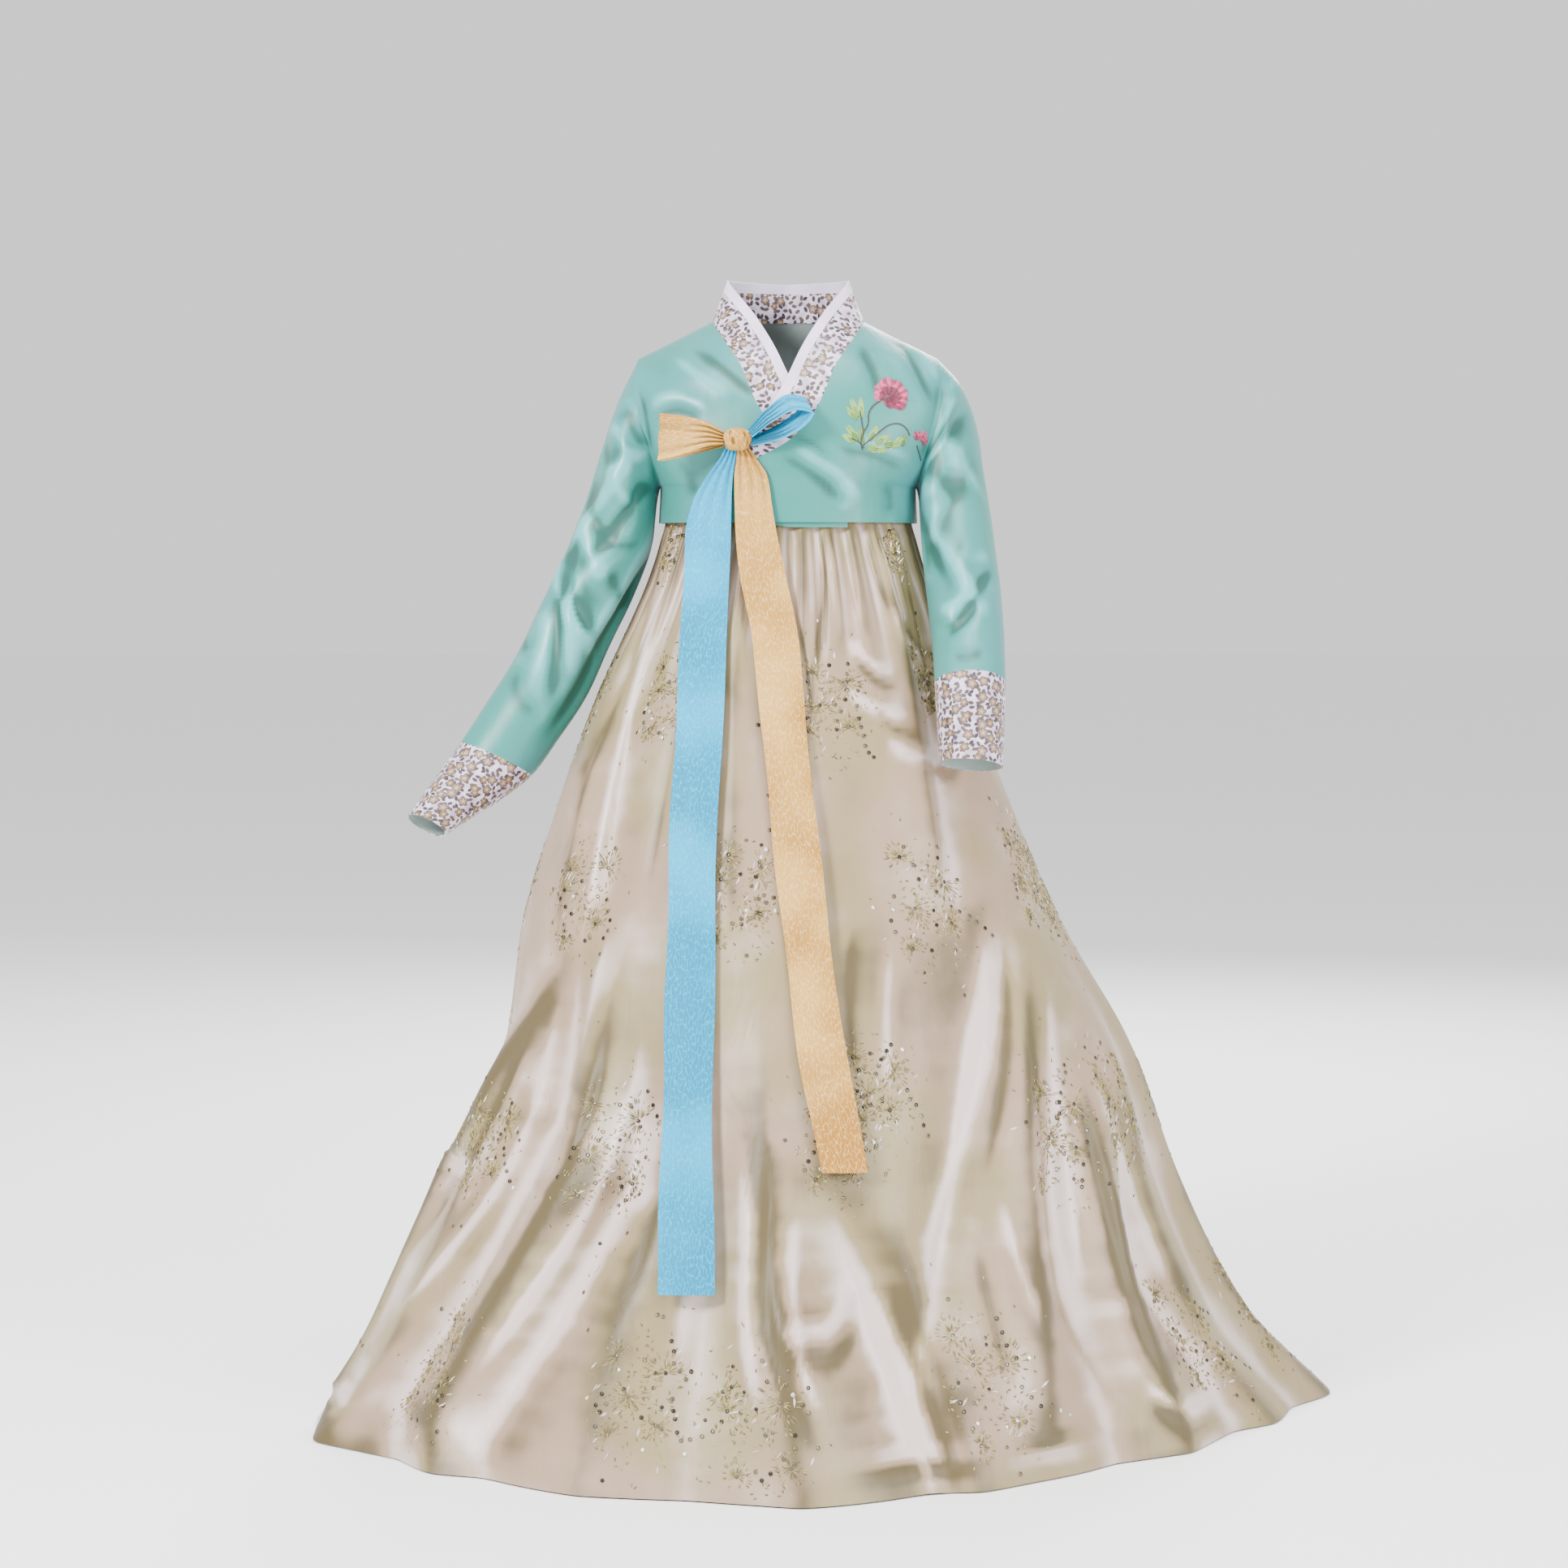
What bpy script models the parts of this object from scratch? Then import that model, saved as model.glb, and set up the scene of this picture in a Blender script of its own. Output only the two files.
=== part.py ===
"""A korean hanbok as worn: a short jacket, a floor-length skirt on its chest band, and a ribbon bow.

The front looks along -Y and the wearer's left is at +X. Tables give heights above the floor, and the
origin is at the base of the neck, on the shoulder line.
"""

import math

import bmesh
import bpy
import numpy as np

SHOULDER_HEIGHT = 1.34
SEAM_GAP = 0.0003
SHARP_FOLD = 0.3
LAYER_GAP = 0.0006

JACKET_WALL = 0.0016
SKIRT_WALL = 0.0020
BAND_WALL = 0.0022
RIBBON_WALL = 0.0014

# The jacket
JACKET_HEM = 1.095
ARMPIT = 1.138
SHOULDER_HALF = 0.183
NECK_HALF = 0.093
NECK_SIDE = 1.341
NECK_BACK_RISE = 0.004
SHOULDER_SLOPE = 0.5
SHOULDER_ROUND = 0.07
FLATNESS = 2.2
OVERLAP_LIFT = 0.0042
OVERLAP_ENDS_OUT = (0.082, 0.125)
OVERLAP_ENDS_UP = (1.285, 1.325)
COLUMN_CROWDING = 1.6
BACK_TURN = 0.012
BACK_NECK_LOW = 0.072
SIDE_COLUMNS = 9
NECK_COLUMNS = 6
LOW_ROWS = 3
HIGH_ROWS = 10
DONGJEONG_SHARE = 0.25
DONGJEONG_START = 0.38
DONGJEONG_TAPER = 0.12
DONGJEONG_NARROWEST = 0.05
DONGJEONG_LEAST = 0.004

# The sleeves
SLEEVE_ROWS = 16
CUFF_ROWS = 3
ARMHOLE_FADE = 0.3
SLEEVE_FOLD_ENDS = 0.3

# The skirt
SKIRT_TOP = 1.15
SKIRT_HEM = 0.006
SKIRT_ROWS = 13
SKIRT_COLUMNS = 112
PLEATS = 28
PLEAT_DEPTH = 0.0042
PLEAT_END = 0.82
PLEAT_FULL = 1.06
ROW_CROWDING = 1.12
FOLD_WIDENING = 1.6
FOLD_START = 0.45
FOLD_RUN_OUT = 0.06
FOLD_RUN_OUT_SHARE = 0.3
FOLD_HIGH_END = 0.2
HEM_FOLDS = 0.45
HEM_ZONE = 0.22

# The chest band and shoulder straps under the jacket
CHEST_BAND_TOP = 1.235
CHEST_BAND_TAPER = 0.97
STRAP_WIDTH = 0.028
STRAP_FOOT = 0.062
STRAP_HEAD = 0.099
STRAP_INSET = 0.0065
STRAP_SHRINK = 0.93
STRAP_ROWS = 9
STRAP_LEAVES_BAND = 0.35

# The bow
KNOT_CENTRE = (-0.061, 1.193)
KNOT_HALF = (0.0155, 0.0105, 0.0135)
TAIL_STEP = 0.05
BLUE_AT_KNOT = 0.0045
PEACH_AT_KNOT = 0.0022
TAIL_CLEARANCE = 0.0062
KNOT_STANDS_OFF = 0.0050
KNOT_ROUND = 0.6
KNOT_SQUARE = 0.75
KNOT_POLE = 0.98
REACH_MARGIN = 0.006
REACH_OVERLAP = 0.02
REACH_ROWS = 0.07
REACH_SIDE = 0.03
SKIRT_SLOPE_LOW = 0.42
SKIRT_SLOPE_HIGH = 0.5
SLOPE_CHANGES = (0.9, 1.1)
TAIL_CROWN = 0.003
TAIL_CROWN_FROM = 0.2
TAIL_SETTLES_IN = 0.04
LOOP_POINTS = 19
STRIP_POINTS = 4

JADE = ("jade satin", (0.16, 0.52, 0.44), 0.35)
CHAMPAGNE = ("champagne satin", (0.72, 0.62, 0.50), 0.3)
FLORAL = ("floral print", (0.66, 0.58, 0.60), 0.45)
WHITE = ("white facing", (0.86, 0.84, 0.88), 0.6)
BLUE = ("blue jacquard", (0.05, 0.55, 0.78), 0.4)
PEACH = ("peach jacquard", (0.86, 0.58, 0.32), 0.4)
COTTON = ("band cotton", (0.80, 0.77, 0.70), 0.8)


def table(columns, rows):
    """A small table, as a dictionary from each column's name to its numbers."""
    return dict(zip(columns.split(), np.array(rows, float).T))


# Half widths and depths of the jacket's body, from its centre line
JACKET = table("height half_width front back", [
    (1.092, 0.159, 0.130, 0.105),
    (1.138, 0.157, 0.130, 0.108),
    (1.142, 0.160, 0.130, 0.108),
    (1.153, 0.167, 0.130, 0.109),
    (1.170, 0.178, 0.129, 0.110),
    (1.193, 0.193, 0.128, 0.110),
    (1.220, 0.208, 0.122, 0.110),
    (1.250, 0.216, 0.112, 0.108),
    (1.300, 0.225, 0.085, 0.098),
    (1.340, 0.228, 0.055, 0.085),
    (1.390, 0.230, 0.045, 0.080),
])

# The armhole's distance from the centre line
ARMHOLE = table("height out", [
    (1.138, 0.157),
    (1.180, 0.168),
    (1.220, 0.181),
    (1.260, 0.187),
    (1.296, 0.183),
])

# The collar on the over front: its seam, its free edge and that edge's distance forward
COLLAR = table("along seam_out seam_height edge_out edge_height edge_forward", [
    (0.000, -0.071, 1.155, -0.073, 1.186, 0.126),
    (0.151, -0.036, 1.172, -0.053, 1.203, 0.126),
    (0.331, 0.004, 1.195, -0.023, 1.233, 0.118),
    (0.530, 0.036, 1.235, -0.004, 1.264, 0.104),
    (0.737, 0.057, 1.284, 0.016, 1.306, 0.080),
    (0.895, 0.079, 1.318, 0.040, 1.346, 0.050),
    (1.000, 0.093, 1.341, 0.074, 1.390, 0.000),
])
COLLAR_TOP = 1.392
COLLAR_LEAN = 0.8
COLLAR_LEAN_IN = 0.93
COLLAR_STANDS = (0.55, 0.80)

# Sleeve outlines as seen from the front, with the depth of each ring's middle and half its thickness
RIGHT_SLEEVE = table("along outer_x outer_height inner_x inner_height forward half_depth", [
    (0.00, -0.183, 1.296, -0.157, 1.138, 0.000, 0.066),
    (0.10, -0.210, 1.240, -0.164, 1.129, 0.001, 0.065),
    (0.22, -0.231, 1.178, -0.167, 1.106, 0.003, 0.064),
    (0.35, -0.249, 1.120, -0.171, 1.069, 0.006, 0.062),
    (0.50, -0.276, 1.052, -0.188, 1.008, 0.012, 0.060),
    (0.65, -0.306, 0.990, -0.218, 0.946, 0.020, 0.057),
    (0.78, -0.334, 0.932, -0.246, 0.884, 0.026, 0.053),
    (0.90, -0.370, 0.875, -0.283, 0.828, 0.030, 0.047),
    (1.00, -0.401, 0.827, -0.314, 0.786, 0.036, 0.043),
    (1.20, -0.462, 0.740, -0.416, 0.717, 0.075, 0.030),
])
LEFT_SLEEVE = table("along outer_x outer_height inner_x inner_height forward half_depth", [
    (0.00, 0.183, 1.296, 0.157, 1.138, 0.000, 0.066),
    (0.10, 0.217, 1.255, 0.165, 1.129, 0.003, 0.065),
    (0.22, 0.231, 1.200, 0.168, 1.108, 0.014, 0.063),
    (0.36, 0.240, 1.140, 0.168, 1.073, 0.034, 0.059),
    (0.52, 0.249, 1.075, 0.167, 1.031, 0.066, 0.055),
    (0.68, 0.256, 1.011, 0.169, 0.986, 0.104, 0.052),
    (0.84, 0.258, 0.955, 0.172, 0.943, 0.144, 0.048),
    (1.00, 0.257, 0.903, 0.173, 0.904, 0.182, 0.044),
    (1.20, 0.253, 0.806, 0.178, 0.812, 0.205, 0.040),
])

# Soft folds on the sleeves: where each starts and ends along the sleeve and round it, from 0 at the
# armpit by 0.25 in front and 0.5 outside to 0.75 behind. A hollow has a negative rise.
RIGHT_FOLDS = table("along_1 round_1 along_2 round_2 width rise", [
    (0.05, 0.10, 0.55, 0.34, 0.035, -0.008),
    (0.08, 0.22, 0.50, 0.44, 0.035, 0.006),
    (0.15, 0.05, 0.75, 0.17, 0.040, 0.007),
    (0.35, 0.06, 0.95, 0.12, 0.040, -0.009),
    (0.45, 0.40, 0.78, 0.16, 0.035, 0.007),
    (0.52, 0.42, 0.86, 0.18, 0.035, -0.007),
    (0.12, 0.62, 0.70, 0.90, 0.050, 0.006),
    (0.20, 0.55, 0.80, 0.78, 0.045, -0.007),
])
LEFT_FOLDS = table("along_1 round_1 along_2 round_2 width rise", [
    (0.04, 0.12, 0.42, 0.36, 0.035, -0.007),
    (0.06, 0.22, 0.40, 0.46, 0.035, 0.006),
    (0.18, 0.06, 0.70, 0.20, 0.040, -0.007),
    (0.40, 0.15, 0.85, 0.33, 0.040, 0.006),
    (0.62, 0.42, 0.92, 0.16, 0.035, -0.006),
    (0.12, 0.62, 0.70, 0.90, 0.050, 0.006),
    (0.20, 0.55, 0.80, 0.78, 0.045, -0.007),
])

# The skirt's outline: left and right edges, depths before and behind, squareness and twist in plan
SKIRT = table("height left right front back squareness twist", [
    (0.006, -0.576, 0.686, 0.515, 0.500, 1.60, 0.17),
    (0.120, -0.494, 0.572, 0.480, 0.450, 1.70, 0.14),
    (0.290, -0.411, 0.482, 0.420, 0.390, 1.80, 0.10),
    (0.460, -0.346, 0.419, 0.355, 0.330, 1.90, 0.06),
    (0.600, -0.329, 0.344, 0.305, 0.280, 1.95, 0.03),
    (0.755, -0.284, 0.276, 0.247, 0.228, 2.00, 0.01),
    (0.890, -0.232, 0.218, 0.188, 0.175, 2.10, 0.00),
    (1.040, -0.163, 0.163, 0.140, 0.121, 2.20, 0.00),
    (1.095, -0.147, 0.148, 0.120, 0.097, 2.20, 0.00),
    (1.150, -0.136, 0.136, 0.110, 0.088, 2.20, 0.00),
])

# The skirt's folds on its front, by their middle lines at three heights, with half width and rise
FRONT_FOLDS = table("x_1 height_1 x_2 height_2 x_3 height_3 width rise", [
    (-0.131, 1.075, -0.191, 0.868, -0.222, 0.640, 0.020, 0.012),
    (-0.156, 1.000, -0.236, 0.800, -0.270, 0.600, 0.022, -0.013),
    (-0.226, 0.700, -0.289, 0.391, -0.466, 0.060, 0.034, 0.030),
    (-0.236, 0.640, -0.356, 0.393, -0.546, 0.060, 0.030, -0.024),
    (-0.176, 0.640, -0.246, 0.345, -0.406, 0.060, 0.030, -0.028),
    (-0.158, 0.560, -0.186, 0.330, -0.356, 0.040, 0.032, 0.030),
    (-0.116, 0.800, -0.126, 0.400, -0.236, 0.010, 0.036, -0.020),
    (-0.086, 0.700, -0.096, 0.300, -0.116, 0.010, 0.040, 0.018),
    (-0.046, 1.080, -0.061, 0.900, -0.066, 0.650, 0.014, -0.008),
    (-0.032, 0.560, -0.023, 0.260, 0.014, 0.010, 0.026, -0.026),
    (0.004, 1.080, 0.024, 0.870, 0.044, 0.560, 0.020, 0.010),
    (0.038, 1.060, 0.028, 0.900, 0.014, 0.700, 0.012, -0.009),
    (0.104, 1.070, 0.139, 0.930, 0.174, 0.700, 0.016, -0.010),
    (0.125, 1.067, 0.167, 0.905, 0.204, 0.640, 0.018, 0.011),
    (0.034, 0.360, 0.094, 0.200, 0.164, 0.010, 0.034, 0.034),
    (0.114, 0.330, 0.154, 0.180, 0.214, 0.010, 0.030, -0.026),
    (0.243, 0.660, 0.204, 0.387, 0.144, 0.100, 0.034, 0.024),
    (0.276, 0.640, 0.276, 0.360, 0.294, 0.100, 0.026, -0.016),
    (0.304, 0.560, 0.324, 0.250, 0.384, 0.010, 0.030, 0.022),
    (0.331, 0.500, 0.388, 0.210, 0.464, 0.010, 0.028, -0.030),
    (0.374, 0.420, 0.444, 0.180, 0.544, 0.010, 0.034, 0.030),
])
# The same behind, where its folds are as uneven
BACK_FOLDS = table("x_1 height_1 x_2 height_2 x_3 height_3 width rise", [
    (-0.216, 0.780, -0.336, 0.350, -0.466, 0.010, 0.040, 0.028),
    (-0.176, 0.800, -0.256, 0.400, -0.356, 0.010, 0.034, -0.026),
    (-0.136, 0.960, -0.176, 0.500, -0.256, 0.010, 0.040, 0.030),
    (-0.086, 0.700, -0.106, 0.350, -0.146, 0.010, 0.034, -0.028),
    (-0.036, 0.980, -0.046, 0.450, -0.056, 0.010, 0.040, 0.026),
    (0.024, 0.760, 0.034, 0.350, 0.044, 0.010, 0.036, -0.030),
    (0.074, 0.920, 0.104, 0.500, 0.144, 0.010, 0.040, 0.030),
    (0.134, 0.720, 0.194, 0.350, 0.254, 0.010, 0.034, -0.026),
    (0.174, 0.940, 0.264, 0.450, 0.364, 0.010, 0.040, 0.028),
    (0.224, 0.700, 0.344, 0.330, 0.474, 0.010, 0.034, -0.026),
])

# The skirt's widths of cloth, by the column of each one's first seam
SKIRT_SEAMS = {
    "chima_front": 46,
    "chima_front_left": 68,
    "chima_back_left": 88,
    "chima_back": 107,
    "chima_back_right": 11,
    "chima_front_right": 28,
}

# The ribbon tails' edges
BLUE_TAIL = table("height left right", [
    (1.186, -0.072, -0.062),
    (1.170, -0.081, -0.063),
    (1.150, -0.096, -0.066),
    (1.120, -0.113, -0.068),
    (1.080, -0.123, -0.069),
    (0.950, -0.128, -0.072),
    (0.758, -0.137, -0.082),
    (0.402, -0.144, -0.086),
    (0.227, -0.148, -0.083),
])
PEACH_TAIL = table("height left right", [
    (1.186, -0.060, -0.050),
    (1.170, -0.061, -0.038),
    (1.150, -0.064, -0.025),
    (1.110, -0.063, -0.018),
    (1.040, -0.059, -0.005),
    (0.944, -0.041, 0.013),
    (0.758, -0.022, 0.031),
    (0.489, 0.011, 0.066),
    (0.358, 0.037, 0.090),
])

# The bow's loops, from the knot out along the upper side and back along the lower one
PEACH_LOOP = table("along x height half_width forward", [
    (0.00, -0.0768, 1.195, 0.0080, 0.0150),
    (0.22, -0.1010, 1.199, 0.0160, 0.0200),
    (0.42, -0.1360, 1.197, 0.0250, 0.0190),
    (0.50, -0.1540, 1.196, 0.0280, 0.0120),
    (0.58, -0.1460, 1.195, 0.0270, 0.0060),
    (0.80, -0.1060, 1.194, 0.0170, 0.0055),
    (1.00, -0.0768, 1.192, 0.0080, 0.0100),
])
BLUE_LOOP = table("along x height half_width forward", [
    (0.00, -0.0450, 1.2000, 0.0070, 0.0140),
    (0.20, -0.0210, 1.2220, 0.0120, 0.0190),
    (0.42, 0.0080, 1.2370, 0.0150, 0.0220),
    (0.50, 0.0260, 1.2320, 0.0150, 0.0220),
    (0.58, 0.0180, 1.2200, 0.0150, 0.0210),
    (0.80, -0.0120, 1.2010, 0.0120, 0.0180),
    (1.00, -0.0448, 1.1900, 0.0070, 0.0135),
])


def read(sizes, column, at):
    """A column read smoothly at some values of the table's first column, with no overshoot."""
    key = next(iter(sizes))
    order = np.argsort(sizes[key])
    x, y = sizes[key][order], sizes[column][order]
    step = np.diff(x)
    slope = np.diff(y) / step
    lean = np.zeros(len(x))
    before, after = slope[:-1], slope[1:]
    same = before * after > 0
    lean[1:-1][same] = 2 * before[same] * after[same] / (before[same] + after[same])
    lean[0], lean[-1] = slope[0], slope[-1]
    at = np.clip(at, x[0], x[-1])
    i = np.clip(np.searchsorted(x, at) - 1, 0, len(step) - 1)
    t = (at - x[i]) / step[i]
    start = (1 + 2 * t) * (1 - t) ** 2 * y[i] + t * (1 - t) ** 2 * step[i] * lean[i]
    return start + t * t * (3 - 2 * t) * y[i + 1] + t * t * (t - 1) * step[i] * lean[i + 1]


def ease(start, end, at):
    """0 before start, 1 past end, and smooth between."""
    t = np.clip((np.asarray(at) - start) / (end - start), 0, 1)
    return t * t * (3 - 2 * t)


def unit(vectors):
    return vectors / np.maximum(np.linalg.norm(vectors, axis=-1, keepdims=True), 1e-12)


def surface_normals(points, around=False):
    """Each grid point's normal, before its side is chosen."""
    down = np.gradient(points, axis=0)
    if around:
        across = np.roll(points, -1, axis=1) - np.roll(points, 1, axis=1)
    else:
        across = np.gradient(points, axis=1)
    return unit(np.cross(across, down))


def facing(normals, outward):
    """The normals, turned to the side that the outward vectors lie on."""
    return normals if np.sum(normals * outward) > 0 else -normals


def share_normals(grids):
    """Gives grid points that coincide, as at a seam, one normal, but not across a sharp fold."""
    met = {}
    keys = [[tuple(place) for place in np.round(points.reshape(-1, 3), 6) + 0.0] for points, _ in grids]
    for (_, normals), places in zip(grids, keys):
        for place, normal in zip(places, normals.reshape(-1, 3).copy()):
            met.setdefault(place, []).append(normal)
    for (_, normals), places in zip(grids, keys):
        flat = normals.reshape(-1, 3)
        for i, place in enumerate(places):
            alike = [other for other in met[place] if other @ flat[i] > SHARP_FOLD]
            flat[i] = unit(np.sum(alike, axis=0))


def pull_back(points, edges, gap=SEAM_GAP):
    """Draws the named edges of a grid back by half a seam's gap."""
    points = points.copy()
    for edge in edges:
        row = {"first_row": (0, 1), "last_row": (-1, -2)}.get(edge)
        column = {"first_column": (0, 1), "last_column": (-1, -2)}.get(edge)
        if row:
            points[row[0]] += unit(points[row[1]] - points[row[0]]) * gap / 2
        else:
            points[:, column[0]] += unit(points[:, column[1]] - points[:, column[0]]) * gap / 2
    return points


def material_of(look):
    name, colour, roughness = look
    material = bpy.data.materials.get(name) or bpy.data.materials.new(name)
    material.use_nodes = True
    shader = material.node_tree.nodes["Principled BSDF"]
    shader.inputs["Base Color"].default_value = (*colour, 1)
    shader.inputs["Roughness"].default_value = roughness
    shader.inputs["Metallic"].default_value = 0.0
    return material


def add_body(name, rows_of_points, quads, look):
    """One closed body from points at their heights above the floor."""
    bm = bmesh.new()
    verts = [bm.verts.new((x, y, height - SHOULDER_HEIGHT)) for x, y, height in rows_of_points]
    for quad in quads:
        bm.faces.new([verts[i] for i in quad])
    bmesh.ops.recalc_face_normals(bm, faces=bm.faces)
    mesh = bpy.data.meshes.new(name)
    bm.to_mesh(mesh)
    bm.free()
    mesh.shade_smooth()
    mesh.set_sharp_from_angle(angle=math.radians(40))
    mesh.materials.append(material_of(look))
    body = bpy.data.objects.new(name, mesh)
    body.parent = bpy.data.objects["hanbok"]
    bpy.context.collection.objects.link(body)
    return body


def wall(name, outer, normals, thickness, look, around=False):
    """Cloth: a grid of outer points, the same grid moved in, and rims along its open edges."""
    rows, columns = outer.shape[:2]
    inner = outer - normals * thickness
    points = np.concatenate([outer.reshape(-1, 3), inner.reshape(-1, 3)])
    index = np.arange(2 * rows * columns).reshape(2, rows, columns)
    ahead = np.roll(index, -1, axis=2)
    used = columns if around else columns - 1
    quads = []
    for skin in (0, 1):
        for r in range(rows - 1):
            for c in range(used):
                quads.append((index[skin, r, c], ahead[skin, r, c],
                              ahead[skin, r + 1, c], index[skin, r + 1, c]))
    for r in (0, rows - 1):
        for c in range(used):
            quads.append((index[0, r, c], ahead[0, r, c], ahead[1, r, c], index[1, r, c]))
    if not around:
        for c in (0, columns - 1):
            for r in range(rows - 1):
                quads.append((index[0, r, c], index[0, r + 1, c],
                              index[1, r + 1, c], index[1, r, c]))
    return add_body(name, points, quads, look)


# The jacket's body

def shoulder_line(out):
    return NECK_SIDE - SHOULDER_SLOPE * (np.abs(out) - NECK_HALF)


def jacket_depth(out, height, side):
    """How far the jacket stands from the plane through the shoulders, before or behind it."""
    half_width = read(JACKET, "half_width", height)
    across = np.clip(1 - np.abs(out / half_width) ** FLATNESS, 0, 1) ** (1 / FLATNESS)
    drop = np.clip((shoulder_line(out) - height) / SHOULDER_ROUND, 0, 1)
    return read(JACKET, side, height) * across * np.sqrt(1 - (1 - drop) ** 2)


def overlap_lift(out, height):
    """How far the over front lies outside the under front."""
    return OVERLAP_LIFT * (1 - ease(*OVERLAP_ENDS_OUT, out)) * (1 - ease(*OVERLAP_ENDS_UP, height))


def jacket_point(out, height, side, hand=1, lift=0.0):
    """A point of the jacket's surface; hand -1 mirrors it about the body's centre line."""
    forward = jacket_depth(out, height, side) + lift
    y = -forward if side == "front" else forward
    return np.stack([hand * out, y, height + 0 * out], axis=-1)


def row_shares():
    """The share of the way up, below and above the armpit, at each row of the jacket's panels."""
    low = np.linspace(0, 1, LOW_ROWS + 1)
    high = np.linspace(0, 1, HIGH_ROWS + 1)
    return low, high


def side_edge():
    """The side seam and then the armhole's edge, as distances out and heights."""
    low, high = row_shares()
    low_heights = JACKET_HEM + (ARMPIT - JACKET_HEM) * low
    top = shoulder_line(SHOULDER_HALF)
    high_heights = ARMPIT + (top - ARMPIT) * (1 - np.cos(math.pi * high)) / 2
    out = np.concatenate([read(JACKET, "half_width", low_heights), read(ARMHOLE, "out", high_heights[1:])])
    return out, np.concatenate([low_heights, high_heights[1:]])


def column_shares():
    """Columns from the side to the neck, closer together where the body turns round its side."""
    return np.linspace(0, 1, SIDE_COLUMNS + 1) ** COLUMN_CROWDING


def front_grid(hand):
    """A front: from its side and armhole to its free edge and collar seam."""
    low, high = row_shares()
    out, heights = side_edge()
    free_heights = JACKET_HEM + (COLLAR["seam_height"][0] - JACKET_HEM) * low
    inner_out = np.concatenate([0 * low + COLLAR["seam_out"][0], read(COLLAR, "seam_out", high[1:])])
    inner_heights = np.concatenate([free_heights, read(COLLAR, "seam_height", high[1:])])
    share = column_shares()[None, :]
    x = out[:, None] * (1 - share) + inner_out[:, None] * share
    height = heights[:, None] * (1 - share) + inner_heights[:, None] * share
    lift = overlap_lift(x, height) if hand > 0 else 0.0
    return jacket_point(x, height, "front", hand, lift)


def back_grid():
    """The back in one piece, from the wearer's left side to the right one."""
    low, high = row_shares()
    out, heights = side_edge()
    turn = ARMPIT + BACK_TURN
    neck_heights = np.concatenate([
        JACKET_HEM + (turn - JACKET_HEM) * low,
        turn + (NECK_SIDE - turn) * np.sin(math.pi / 2 * high[1:]),
    ])
    upward = (neck_heights - JACKET_HEM) / (NECK_SIDE - JACKET_HEM)
    neck_out = BACK_NECK_LOW + (NECK_HALF - BACK_NECK_LOW) * upward
    share = column_shares()[None, :]
    side_x = out[:, None] * (1 - share) + neck_out[:, None] * share
    side_height = heights[:, None] * (1 - share) + neck_heights[:, None] * share
    middle = np.cos(math.pi * np.linspace(0, 1, NECK_COLUMNS + 1))[None, 1:-1]
    middle_x = neck_out[:, None] * middle
    rise = NECK_BACK_RISE * upward[:, None] ** 2 * (1 - middle ** 2)
    middle_height = neck_heights[:, None] + rise
    x = np.concatenate([side_x, middle_x, -side_x[:, ::-1]], axis=1)
    height = np.concatenate([side_height, middle_height, side_height[:, ::-1]], axis=1)
    return jacket_point(x, height, "back")


def collar_grid(front_over, front_under, back):
    """The collar strip from its seam (first column) to its free edge, round the neck."""
    _, high = row_shares()
    seam = [front_over[LOW_ROWS:, -1], back[-1, SIDE_COLUMNS + 1:SIDE_COLUMNS + NECK_COLUMNS],
            front_under[LOW_ROWS:, -1][::-1]]
    sides = [collar_edge(high, 1), back_collar_edge(seam[1]), collar_edge(high, -1)[::-1]]
    seam, edge = np.concatenate(seam), np.concatenate(sides)
    along = np.concatenate([high, 1 + 0 * seam[: NECK_COLUMNS - 1, 0], high[::-1]])
    split = 1 - DONGJEONG_SHARE * ease(DONGJEONG_START - DONGJEONG_TAPER, DONGJEONG_START, along)
    split = np.minimum(split, 1 - DONGJEONG_NARROWEST)
    shares = np.stack([0 * split, split / 3, split * 2 / 3, split, 1 + 0 * split], axis=1)
    points = seam[:, None] * (1 - shares[..., None]) + edge[:, None] * shares[..., None]
    last = len(high) - 1
    for rows, hand in ((slice(0, last), 1), (slice(len(seam) - last, len(seam)), -1)):
        settle_collar(points[rows], along[rows], shares[rows], hand)
    return points


def collar_edge(along, hand):
    """The collar's free edge on one front."""
    out = read(COLLAR, "edge_out", along)
    height = read(COLLAR, "edge_height", along)
    y = -read(COLLAR, "edge_forward", along)
    return np.stack([hand * out, y, height], axis=-1)


def back_collar_edge(seam):
    """The free edge behind, which leans in over its seam."""
    out = seam[:, 0] * COLLAR_LEAN
    return np.stack([out, seam[:, 1] * COLLAR_LEAN_IN, COLLAR_TOP + 0 * out], axis=-1)


def settle_collar(points, along, shares, hand):
    """Lays the collar's lower part on the body, before it stands up round the neck."""
    out, height = hand * points[..., 0], points[..., 2]
    lift = overlap_lift(out, height) if hand > 0 else 0.0
    flat = -(jacket_depth(out, height, "front") + lift)
    lying = 1 - ease(*COLLAR_STANDS, along)[:, None]
    lying = np.where(shares > 0, lying, 0)
    points[..., 1] = points[..., 1] * (1 - lying) + flat * lying


# The sleeves

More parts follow.
